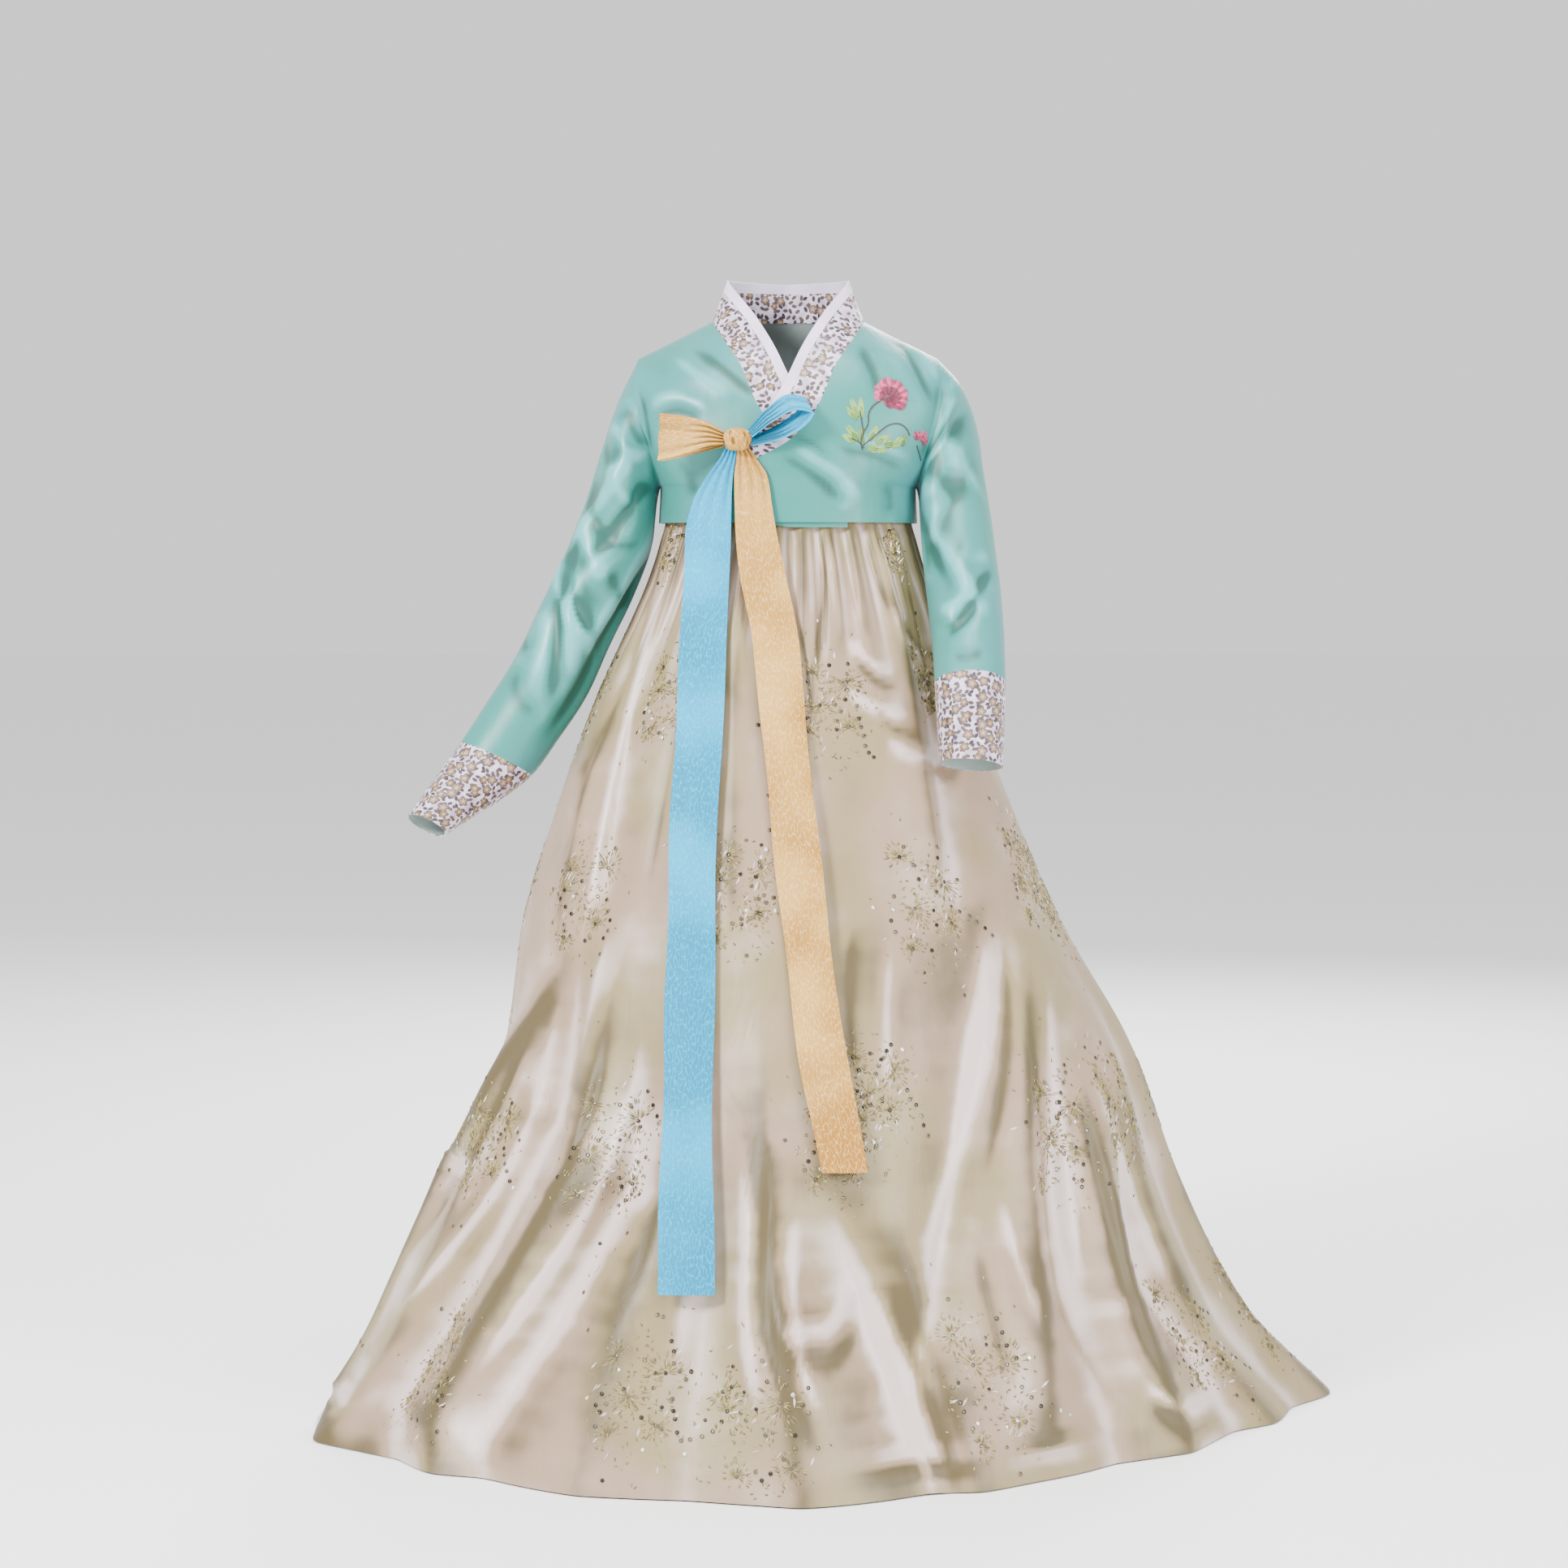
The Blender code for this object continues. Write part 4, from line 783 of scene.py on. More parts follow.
# %% Creases of the jacket and the sleeves
FRONT_CREASES = numbers("""
    # The chest on the wearer's right
    9 -3.5 -126 1312 -94 1296 -52 1261 -27 1242
    11 3 -148 1303 -110 1274 -65 1242
    10 3.5 -176 1232 -154 1248 -129 1250 -88 1230
    9 -3 -172 1218 -140 1234 -100 1220
    8 -4.5 -190 1283 -183 1255 -177 1223 -171 1181 -162 1132 -159 1098
    10 -2 -140 1180 -120 1150 -112 1120
    # The chest on the wearer's left
    8 -4 104 1338 136 1319 152 1299 168 1268 180 1232
    9 3 139 1325 169 1295 189 1260
    8 -3 84 1320 108 1280 112 1240
    9 -2.5 156 1156 113 1175 88 1181 50 1188
    10 2.5 158 1172 110 1191 60 1201
    8 -2.2 -21 1181 11 1169 50 1140 75 1111
    10 2.6 -5 1192 40 1172 80 1138 95 1110
    7 -2 -8 1207 30 1194 56 1169
    10 2 66 1156 69 1124 66 1102
    9 -2 120 1150 128 1125 124 1100
    # The wearer's right sleeve: the fold at the bent elbow and its hollow
    8 7 -262 1092 -279 1052 -284 1020 -272 984 -246 948 -234 918
    11 -9 -254 1086 -268 1050 -270 1020 -256 986 -230 952
    # and the curved folds that hang from its armpit
    12 -7 -238 1186 -250 1142 -242 1094 -210 1066 -172 1070
    12 6 -262 1150 -256 1094 -238 1047 -212 1013
    11 5 -222 1186 -210 1134 -176 1106
    8 -4 -200 1246 -193 1213 -176 1178
    8 4 -216 1226 -201 1186 -180 1168
    9 -4 -232 1220 -226 1180 -214 1156
    12 -4.5 -226 1040 -206 1010 -196 985
    14 -3 -325 924 -345 889 -301 850
    7 -3 -330 962 -322 934
    16 3 -300 1000 -290 950 -280 900
    # The wearer's left sleeve: folds that fan out from the armpit
    9 -3.4 158 1160 176 1205 185 1241 189 1290
    10 -3.2 166 1160 192 1195 228 1238
    10 3.2 168 1176 192 1221 212 1269
    8 3.5 198 1250 204 1285 200 1305
    14 3.8 160 1116 190 1158 226 1208
    16 -4.5 166 1040 200 1114 232 1182
    8 -4.5 156 1104 162 1067 172 1026
    10 3.5 172 1060 180 1100 182 1130
    11 4.5 180 978 212 1000 246 1018
    10 -3.5 184 960 216 982 244 1002
    14 2.5 206 1060 232 1050 250 1060
    9 -2.5 196 936 220 930 246 940
""")
BACK_CREASES = numbers("""
    # The back: soft pulls that hang from the collar and run from the armpits, uneven on each side
    20 -3.5 -22 1330 -10 1270 -16 1190 -6 1098
    24 3 22 1318 34 1250 30 1180 38 1098
    16 -3.5 -166 1150 -128 1172 -92 1226 -78 1300
    20 3 -172 1200 -136 1236 -112 1290
    15 -3 168 1140 120 1160 60 1176 16 1206
    20 3.5 172 1196 130 1214 92 1262 70 1330
    15 -3 176 1236 140 1256 112 1300
    14 -2.5 -160 1122 -96 1116 -30 1128 30 1118
    18 2.5 -60 1290 -54 1220 -70 1150 -66 1100
    14 -2.5 98 1180 106 1140 96 1098
    # The sleeves behind
    11 -6 -178 1160 -214 1130 -242 1084 -254 1040
    12 6 -184 1186 -226 1150 -256 1098
    12 6 -200 1060 -240 1030 -284 1010
    11 -7 -206 1040 -246 1008 -292 990
    10 4 -240 960 -290 930 -330 926
    9 -4 -190 1262 -210 1220 -220 1180
    11 -6 170 1156 204 1120 226 1070 236 1010
    12 5.5 178 1184 220 1150 242 1104
    11 -5 180 1020 214 1000 250 1004
    12 4.5 178 1042 214 1024 252 1030
    10 -4 190 950 220 962 250 950
""")
print("jacket creases:", len(FRONT_CREASES), "in front,", len(BACK_CREASES), "behind")

# %% The jacket's fronts and back


def shoulder_line(out):
    return NECK_SIDE - SHOULDER_SLOPE * (np.abs(out) - NECK_HALF)


def jacket_depth(out, height, side):
    """How far the jacket stands from the plane through the shoulders, before or behind it."""
    half_width = read(JACKET, "half_width", height)
    across = np.clip(1 - np.abs(out / half_width) ** FLATNESS, 0, 1) ** (1 / FLATNESS)
    drop = np.clip((shoulder_line(out) - height) / SHOULDER_ROUND, 0, 1)
    return read(JACKET, side, height) * across * np.sqrt(1 - (1 - drop) ** 2)


def overlap_lift(out, height):
    """How far the over front lies outside the under front."""
    return OVERLAP_LIFT * (1 - ease(0.082, 0.125, out)) * (1 - ease(1.285, 1.325, height))


def jacket_point(out, height, side, hand=1, lift=0.0):
    """A point of the jacket's surface; hand -1 mirrors it about the body's centre line."""
    forward = jacket_depth(out, height, side) + lift
    y = -forward if side == "front" else forward
    return np.stack([hand * out, y, height + 0 * out], axis=-1)


def side_edge():
    """The side seam and then the armhole's edge, as distances out and heights."""
    low, high = np.linspace(0, 1, LOW_ROWS + 1), np.linspace(0, 1, HIGH_ROWS + 1)
    low_heights = JACKET_HEM + (ARMPIT - JACKET_HEM) * low
    top = shoulder_line(SHOULDER_HALF)
    high_heights = ARMPIT + (top - ARMPIT) * (1 - np.cos(math.pi * high)) / 2
    out = np.concatenate([read(JACKET, "half_width", low_heights), read(ARMHOLE, "out", high_heights[1:])])
    return out, np.concatenate([low_heights, high_heights[1:]])


def column_shares():
    """Columns from the side to the neck, closer together where the body turns round its side."""
    return np.linspace(0, 1, SIDE_COLUMNS + 1) ** 1.6


def front_grid(hand):
    """A front: from its side and armhole to its free edge and collar seam."""
    low, high = np.linspace(0, 1, LOW_ROWS + 1), np.linspace(0, 1, HIGH_ROWS + 1)
    out, heights = side_edge()
    free_heights = JACKET_HEM + (COLLAR["seam_height"][0] - JACKET_HEM) * low
    inner_out = np.concatenate([0 * low + COLLAR["seam_out"][0], read(COLLAR, "seam_out", high[1:])])
    inner_heights = np.concatenate([free_heights, read(COLLAR, "seam_height", high[1:])])
    share = column_shares()[None, :]
    x = out[:, None] * (1 - share) + inner_out[:, None] * share
    height = heights[:, None] * (1 - share) + inner_heights[:, None] * share
    if hand < 0:
        height = height - 0.006 * ease(0.05, -0.01, x) * (1 - ease(1.10, 1.13, height))
    lift = overlap_lift(x, height) if hand > 0 else 0.0
    return jacket_point(x, height, "front", hand, lift)


def back_grid():
    """The back in one piece, from the wearer's left side to the right one."""
    low, high = np.linspace(0, 1, LOW_ROWS + 1), np.linspace(0, 1, HIGH_ROWS + 1)
    out, heights = side_edge()
    turn = ARMPIT + 0.012
    neck_heights = np.concatenate([
        JACKET_HEM + (turn - JACKET_HEM) * low,
        turn + (NECK_SIDE - turn) * np.sin(math.pi / 2 * high[1:]),
    ])
    upward = (neck_heights - JACKET_HEM) / (NECK_SIDE - JACKET_HEM)
    neck_out = 0.072 + (NECK_HALF - 0.072) * upward
    share = column_shares()[None, :]
    side_x = out[:, None] * (1 - share) + neck_out[:, None] * share
    side_height = heights[:, None] * (1 - share) + neck_heights[:, None] * share
    middle = np.cos(math.pi * np.linspace(0, 1, NECK_COLUMNS + 1))[None, 1:-1]
    rise = NECK_BACK_RISE * upward[:, None] ** 2 * (1 - middle ** 2)
    x = np.concatenate([side_x, neck_out[:, None] * middle, -side_x[:, ::-1]], axis=1)
    height = np.concatenate([side_height, neck_heights[:, None] + rise, side_height[:, ::-1]], axis=1)
    return jacket_point(x, height, "back")


print("front grid:", front_grid(1).shape, "back grid:", back_grid().shape)

# %% [markdown]
# ## The sleeves
#
# A sleeve is a tube of rings round a bent middle line. Its outline was measured from the front at
# several places along the arm, with the depth of each ring's middle and half its thickness. The
# first ring lies exactly on the armhole, so the sleeve grows out of the body, and its last rows are
# the printed cuff.

# %% Sizes and grids of the sleeves
SLEEVE_ROWS = 96
CUFF_ROWS = 20
ARMHOLE_FADE = 0.3

RIGHT_SLEEVE = table("along outer_x* outer_height* inner_x* inner_height* forward* half_depth*", """
    0 -183 1296 -157 1138 0 66
    0.1 -210 1240 -162 1129 1 65
    0.22 -231 1178 -162 1104 3 64
    0.35 -249 1120 -167 1067 6 62
    0.5 -276 1052 -188 1008 12 60
    0.65 -306 990 -218 946 20 57
    0.78 -334 932 -246 884 26 53
    0.9 -370 875 -283 828 30 47
    1 -401 827 -314 786 36 43
    1.2 -462 740 -416 717 75 30
""")
LEFT_SLEEVE = table("along outer_x* outer_height* inner_x* inner_height* forward* half_depth*", """
    0 183 1296 157 1138 0 66
    0.1 217 1255 163 1129 3 65
    0.22 231 1200 163 1106 14 63
    0.36 240 1140 165 1072 34 59
    0.52 249 1075 166 1031 66 55
    0.68 256 1011 169 986 104 52
    0.84 258 955 172 943 144 48
    1 257 903 173 904 182 44
    1.2 253 806 178 812 205 40
""")
# Broad folds: each one's start and end along the sleeve and round it, from 0 at the armpit by 0.25
# in front and 0.5 outside to 0.75 behind, with its half width and rise
RIGHT_FOLDS = table("along_1 round_1 along_2 round_2 width rise*", """
    0.05 0.1 0.55 0.34 0.035 -8
    0.08 0.22 0.5 0.44 0.035 6
    0.15 0.05 0.75 0.17 0.04 7
    0.35 0.06 0.95 0.12 0.04 -9
    0.45 0.4 0.78 0.16 0.035 7
    0.52 0.42 0.86 0.18 0.035 -7
    0.12 0.62 0.7 0.9 0.05 6
    0.2 0.55 0.8 0.78 0.045 -7
""")
LEFT_FOLDS = table("along_1 round_1 along_2 round_2 width rise*", """
    0.06 0.12 0.46 0.36 0.04 -4.5
    0.08 0.22 0.44 0.46 0.04 4.5
    0.18 0.06 0.7 0.2 0.04 -6
    0.4 0.15 0.85 0.33 0.04 6
    0.62 0.42 0.92 0.16 0.035 -6
    0.12 0.62 0.7 0.9 0.05 6
    0.2 0.55 0.8 0.78 0.045 -7
""")


def sleeve_rings(sizes, alongs, angles):
    """Rings round the sleeve's middle line, from the armpit forward, out, back and round again."""
    ends = [np.stack([read(sizes, f"{edge}_x", alongs), -read(sizes, "forward", alongs),
                      read(sizes, f"{edge}_height", alongs)], axis=-1) for edge in ("outer", "inner")]
    middle, reach = (ends[0] + ends[1]) / 2, (ends[0] - ends[1]) / 2
    line = unit(np.gradient(middle, axis=0))
    forward = unit(np.cross(line, reach))
    forward *= np.where(forward[:, 1] > 0, -1, 1)[:, None]
    forward *= read(sizes, "half_depth", alongs)[:, None]
    angles = np.asarray(angles)[None, :, None]
    return middle[:, None] - np.cos(angles) * reach[:, None] + np.sin(angles) * forward[:, None]


def fold_shift(folds, along, around):
    """The broad folds' rise at each place on a sleeve, whose way round runs from 0 to 1."""
    shift = np.zeros(np.broadcast(along, around).shape)
    for a_1, r_1, a_2, r_2, width, rise in zip(*folds.values()):
        share = np.clip((along - a_1) / (a_2 - a_1), 0, 1)
        away = (around - (r_1 + (r_2 - r_1) * share) + 0.5) % 1 - 0.5
        shift += rise * ease(0, 0.3, share) * ease(0, 0.3, 1 - share) * np.exp(-(away / width) ** 2)
    return shift


def sleeve_grid(sizes, folds, armhole):
    """The sleeve and its cuff as one tube of points that starts on the armhole, and its shift."""
    count = 2 * HIGH_ROWS
    angles = np.arange(count) * 2 * math.pi / count
    alongs = np.concatenate([np.linspace(0, 1, SLEEVE_ROWS + 1), np.linspace(1, 1.2, CUFF_ROWS + 1)[1:]])
    points = sleeve_rings(sizes, alongs, angles)
    points += (armhole - points[0])[None] * (1 - ease(0, ARMHOLE_FADE, alongs))[:, None, None]
    shift = fold_shift(folds, alongs[:, None], (np.arange(count) / count)[None])
    points = points + tube_normals(points) * shift[..., None]
    return points, tube_normals(points), shift


# %% [markdown]
# ## The collar
#
# The collar, or git, is a straight strip of printed cloth that runs from the bow up one front, round
# the neck and down under the other. Near its free edge it carries the dongjeong, a narrow white
# facing that is changed when it soils. Both come from one grid across the strip, which lies flat on
# the fronts and stands up round the neck.

# %% The collar's grid
COLLAR_TOP = 1.392
COLLAR_LEAN = 0.8
COLLAR_STANDS = (0.55, 0.80)
DONGJEONG_SHARE = 0.25
DONGJEONG_START = 0.38
STRIP_COLUMNS = 9
FACING_COLUMNS = 4
FACING_LEAST = 0.004
FACING_LIFT = 0.0006


def collar_edge(along, hand):
    """The collar's free edge on one front."""
    out = read(COLLAR, "edge_out", along)
    height = read(COLLAR, "edge_height", along)
    return np.stack([hand * out, -read(COLLAR, "edge_forward", along), height], axis=-1)


def settle_collar(points, along, shares, hand):
    """Lays the collar's lower part on the body, before it stands up round the neck."""
    out, height = hand * points[..., 0], points[..., 2]
    lift = overlap_lift(out, height) if hand > 0 else 0.0
    flat = -(jacket_depth(out, height, "front") + lift)
    lying = np.where(shares > 0, 1 - ease(*COLLAR_STANDS, along)[:, None], 0)
    points[..., 1] = points[..., 1] * (1 - lying) + flat * lying


def collar_grid(front_over, front_under, back):
    """The collar strip from its seam (first column) to its free edge, round the neck."""
    high = np.linspace(0, 1, HIGH_ROWS + 1)
    behind = back[-1, SIDE_COLUMNS + 1:SIDE_COLUMNS + NECK_COLUMNS]
    seam = np.concatenate([front_over[LOW_ROWS:, -1], behind, front_under[LOW_ROWS:, -1][::-1]])
    top = np.stack([behind[:, 0] * COLLAR_LEAN, behind[:, 1] * 0.93, COLLAR_TOP + 0 * behind[:, 0]],
                   axis=-1)
    edge = np.concatenate([collar_edge(high, 1), top, collar_edge(high, -1)[::-1]])
    along = np.concatenate([high, 1 + 0 * behind[:, 0], high[::-1]])
    split = 1 - DONGJEONG_SHARE * ease(DONGJEONG_START - 0.12, DONGJEONG_START, along)
    split = np.minimum(split, 0.95)[:, None]
    facing = 1 - np.linspace(1, 0, FACING_COLUMNS + 1)[None, 1:] * (1 - split)
    shares = np.concatenate([split * np.linspace(0, 1, STRIP_COLUMNS + 1)[None], facing], axis=1)
    points = seam[:, None] * (1 - shares[..., None]) + edge[:, None] * shares[..., None]
    last = len(high) - 1
    for rows, hand in ((slice(0, last), 1), (slice(len(seam) - last, len(seam)), -1)):
        settle_collar(points[rows], along[rows], shares[rows], hand)
    return points


# %% Make the jacket
def make_jacket():
    over, under, back = front_grid(1), front_grid(-1), back_grid()
    collar = collar_grid(over, under, back)
    left_hole = np.concatenate([over[LOW_ROWS:, 0], back[LOW_ROWS:, 0][::-1][1:-1]])
    right_hole = np.concatenate([under[LOW_ROWS:, 0], back[LOW_ROWS:, -1][::-1][1:-1]])
    left, left_normals, left_shift = sleeve_grid(LEFT_SLEEVE, LEFT_FOLDS, left_hole)
    right, right_normals, right_shift = sleeve_grid(RIGHT_SLEEVE, RIGHT_FOLDS, right_hole)
    grids = [
        (over, grid_normals(over, FORWARD)),
        (under, grid_normals(under, FORWARD)),
        (back, grid_normals(back, -FORWARD)),
        (collar, grid_normals(collar, collar - collar.mean(axis=(0, 1)))),
        (left, left_normals),
        (right, right_normals),
    ]
    share_at_seams(grids, one_normal)
    names = ("jacket_front_left", "jacket_front_right", "jacket_back", "collar", "left", "right")
    shifts = [both_sides(points, normals, as_seen(points), FRONT_CREASES, BACK_CREASES)
              for points, normals in grids]
    moves = [normals * shift[..., None] for (_, normals), shift in zip(grids, shifts)]
    share_at_seams([(points, move) for (points, _), move in zip(grids, moves)],
                   lambda own, others: np.mean(others, axis=0))
    laid = {}
    for (points, normals), move, shift, name, broad in zip(
            grids, moves, shifts, names, (0, 0, 0, 0, left_shift, right_shift)):
        moved = points + move
        if name in ("left", "right"):
            moved = relaxed(moved)
            normals[1:] = tube_normals(moved)[1:]
        laid[name] = (moved, normals, shift + broad)
    # ridge_shade gives the jacket, sleeves and cuffs painted shade in their troughs and painted highlight
    # on their ridges.
    for name in names[:3]:
        points, normals, shift = laid[name]
        cloth(name, points, normals, JACKET_WALL, [jade, lining], ridge_shade(shift))
    for side in ("left", "right"):
        points, normals, shift = laid[side]
        shade = ridge_shade(shift, around=True)
        sleeve, cuff = slice(0, SLEEVE_ROWS + 1), slice(SLEEVE_ROWS, None)
        cloth(f"sleeve_cloth_{side}", points[sleeve], normals[sleeve], JACKET_WALL, [jade, lining],
              shade[sleeve], around=True)
        cloth(f"cuff_cloth_{side}", points[cuff], normals[cuff], JACKET_WALL, [cuff_print, lining],
              shade[cuff], around=True)
    points, normals, _ = laid["collar"]
    cloth("collar_strip", points[:, :STRIP_COLUMNS + 1], normals[:, :STRIP_COLUMNS + 1], BAND_WALL,
          [collar_print])
    width = np.linalg.norm(points[:, -1] - points[:, STRIP_COLUMNS], axis=1)
    faced = np.flatnonzero(width > FACING_LEAST)
    rows = slice(faced[0], faced[-1] + 1)
    raised = points[rows, STRIP_COLUMNS:] + normals[rows, STRIP_COLUMNS:] * FACING_LIFT
    cloth("collar_facing", raised, normals[rows, STRIP_COLUMNS:], BAND_WALL, [white])


make_jacket()

# %% [markdown]
# ## The skirt
#
# The chima is a wide cloth that is gathered onto a chest band and falls to the floor. Its outline is
# measured at ten heights. At each height the outline is a rounded oval, and the folds move it in and
# out by their place round the skirt. Every fold has a middle line at three heights, a half width and
# a rise, in front as the picture shows it and behind in the same uneven way. On top come the finer
# creases, drawn as on the jacket, and the gathers under the band.

# %% Sizes of the skirt
SKIRT_WALL = 0.0020
SKIRT_TOP = 1.15
SKIRT_HEM = 0.006
SEAM_PLACES = 112
FINENESS = 5
SKIRT_COLUMNS = SEAM_PLACES * FINENESS
SKIRT_ROWS = 132
PLEATS = 28
PLEAT_DEPTH = 0.0042
FINE_PLEATS = 71
FINE_PLEAT_DEPTH = 0.0013
FLOOR_CLEARANCE = 0.004

SKIRT = table("height* left* right* front* back* squareness twist", """
    6 -576 686 515 500 1.6 0.17
    120 -494 572 480 450 1.7 0.14
    290 -411 482 420 390 1.8 0.1
    460 -346 419 355 330 1.9 0.06
    600 -329 344 305 280 1.95 0.03
    755 -284 276 247 228 2 0.01
    890 -232 218 188 175 2.1 0
    1040 -163 163 140 121 2.2 0
    1095 -147 148 120 97 2.2 0
    1150 -136 136 110 88 2.2 0
""")
FRONT_FOLDS = table("x_1* height_1* x_2* height_2* x_3* height_3* width* rise*", """
    -131 1075 -191 868 -222 640 20 12
    -156 1000 -236 800 -270 600 22 -13
    -226 700 -289 391 -466 60 34 30
    -236 640 -356 393 -546 60 30 -24
    -176 640 -246 345 -406 60 30 -28
    -158 560 -186 330 -356 40 32 30
    -116 800 -126 400 -236 10 36 -20
    -86 700 -96 300 -116 10 40 18
    -46 1080 -61 900 -66 650 14 -8
    -32 560 -23 260 14 10 26 -26
    4 1080 24 870 44 560 20 10
    38 1060 28 900 14 700 12 -9
    104 1070 139 930 174 700 16 -10
    125 1067 167 905 204 640 18 11
    34 360 94 200 164 10 34 34
    114 330 154 180 214 10 30 -26
    243 660 204 387 144 100 34 24
    276 640 276 360 294 100 26 -16
    304 560 324 250 384 10 30 22
    331 500 388 210 464 10 28 -30
    374 420 444 180 544 10 34 30
""")
BACK_FOLDS = table("x_1* height_1* x_2* height_2* x_3* height_3* width* rise*", """
    -216 780 -336 350 -466 10 40 28
    -176 800 -256 400 -356 10 34 -26
    -136 960 -176 500 -256 10 40 30
    -86 700 -106 350 -146 10 34 -28
    -36 980 -46 450 -56 10 40 26
    24 760 34 350 44 10 36 -30
    74 920 104 500 144 10 40 30
    134 720 194 350 254 10 34 -26
    174 940 264 450 364 10 40 28
    224 700 344 330 474 10 34 -26
""")
# Folds at the sides: places as shares of the way round, where 0.25 is the wearer's right side
SIDE_FOLDS = table("share_1 height_1* share_2 height_2* width* rise*", """
    0.205 800 0.195 10 40 -12
    0.222 900 0.218 10 36 13
    0.245 760 0.243 10 34 -9
    0.268 860 0.268 10 38 5
    0.29 620 0.296 10 32 -11
    0.7 640 0.694 10 34 -11
    0.722 880 0.72 10 38 13
    0.745 740 0.746 10 34 -13
    0.768 900 0.772 10 36 13
    0.79 780 0.8 10 40 -12
""")
# Each width of cloth, by its first seam's place out of SEAM_PLACES round the skirt
SKIRT_SEAMS = {
    "front": 46,
    "front_left": 68,
    "back_left": 88,
    "back": 107,
    "back_right": 11,
    "front_right": 28,
}

# %% [markdown]
# ## The skirt's finer creases
#
# These are drawn lines as on the jacket, but all at the cloth's own places. The long bright
# ridges run down from the wearer's right side, and the cloth crumples at the left hip where the
# sleeve rests, at the knees and near the hem.

# %% Creases of the skirt
SKIRT_CREASES = numbers("""
    # Narrow gathers below the jacket
    7 -3 -150 1070 -172 985 -196 900
    6 -3 -52 1080 -50 1022 -56 953
    6 -6.5 36 1090 41 1029 38 960 36 900
    6 -2.5 62 1085 72 1030 84 975
    7 3 48 1085 56 1020 64 950
    6 -3 92 1085 97 1049 124 983
    7 3 108 1080 122 1020 146 960
    7 -3 125 1084 152 992 170 905 180 830
    8 3 138 1060 166 985 184 900
    6 -3 12 985 24 908 30 850
    # The crumpled cloth at the left hip
    9 3.5 66 960 96 925 132 912
    8 -3.5 74 940 104 905 140 896
    9 4 60 905 100 870 152 866
    8 -3 96 880 130 846 172 840
    8 3.5 122 1000 138 950 172 930
    8 -3.5 134 985 156 944 186 930
    9 3.5 110 840 150 812 196 822
    8 -3 160 815 186 790 214 800
    9 3 172 880 196 850 212 862
    # The long ridge and hollow from the waist on the wearer's right
    11 5 -131 1075 -158 982 -191 868 -212 774 -232 660 -252 560
    12 -5 -180 944 -230 828 -264 732 -290 620
    10 -4 -112 960 -132 860 -150 760 -168 640
    # Ridges and hollows down to the hem on the wearer's right
    12 6 -262 560 -284 460 -305 375 -350 290 -430 190 -500 110
    11 -6 -300 520 -340 420 -400 300 -470 195
    12 6 -170 520 -176 420 -236 290 -310 180 -380 90
    11 -6 -205 560 -220 430 -262 345 -330 220 -400 120
    10 4 -208 620 -230 520 -250 430
    12 -5 -120 560 -128 420 -160 280 -206 160
    12 5 -92 520 -100 380 -110 240 -126 110
    # The middle, between and under the ribbons
    10 -6 -34 430 -22 340 -28 210 -6 130 40 45
    9 5 -54 400 -46 300 -50 190 -30 80
    10 5 8 330 2 240 10 160 36 90
    # A fold that bends across and back
    11 5.5 -30 190 20 188 52 190 72 226 88 244
    13 -4.5 -24 162 20 158 60 156 86 194
    12 6 84 246 102 205 116 140 150 52 172 -40
    13 -6 112 250 128 200 144 130 178 50 200 -40
    # The wide smooth fall on the wearer's left
    14 6 214 640 238 560 222 470 196 380 160 270 148 180
    12 -5 252 620 262 540 250 440 226 330
    9 -5 292 610 284 510 300 395 304 275 318 180 350 115 400 45
    10 4.5 312 560 308 470 322 380 330 270 350 180
    11 -6 336 450 372 300 402 185 430 110 480 40
    11 5 350 480 396 330 436 220 486 120
    9 4 412 96 456 52 524 44
    9 -3.5 418 74 462 30 520 22
    12 4 240 330 262 240 300 150
    11 -4 210 290 232 190 262 90
    14 4 120 620 110 520 116 420
    14 -3.5 76 640 70 540 78 440
""")
BACK_SKIRT_CREASES = numbers("""
    8 -3.5 -96 1080 -104 1000 -122 900
    9 3.5 -66 1080 -72 990 -80 880
    8 -3.5 -30 1084 -34 1000 -30 910
    9 3.5 4 1082 8 1000 14 900
    8 -3.5 42 1084 50 990 62 900
    9 3.5 80 1080 92 1000 112 900
    8 -3.5 116 1076 132 990 156 900
    11 5 -190 820 -250 620 -300 440 -360 240
    11 -5 -150 780 -190 600 -230 400 -270 200
    12 5 -90 760 -112 560 -130 360 -150 140
    11 -5 -40 720 -44 520 -62 320 -80 120
    12 5 20 700 26 480 20 300 34 90
    11 -5 70 760 92 560 110 380 140 160
    12 5 130 780 170 580 210 380 250 180
    11 -5 190 760 250 560 310 360 380 160
    10 5 -60 240 -10 226 40 236 70 280
    10 5 180 240 230 220 280 236
    10 -4 -230 180 -190 160 -150 176
    12 4.5 280 460 350 300 430 150
    12 4.5 -300 360 -390 220 -470 110
""")
print("skirt creases:", len(SKIRT_CREASES), "in front,", len(BACK_SKIRT_CREASES), "behind")

# %% The skirt's grid


def skirt_plan(height):
    """The skirt's smooth outline at one height, starting at the back and passing the wearer's right."""
    left, right = read(SKIRT, "left", height), read(SKIRT, "right", height)
    front, back = read(SKIRT, "front", height), read(SKIRT, "back", height)
    power = 2 / read(SKIRT, "squareness", height)
    turn = np.linspace(0, 2 * math.pi, 1441)
    s, c = np.sin(turn), np.cos(turn)
    away = np.sign(c) * np.abs(c) ** power
    x = (left + right) / 2 - (right - left) / 2 * np.sign(s) * np.abs(s) ** power
    y = np.where(away > 0, back, front) * away + read(SKIRT, "twist", height) * (x - (left + right) / 2)
    return x, y


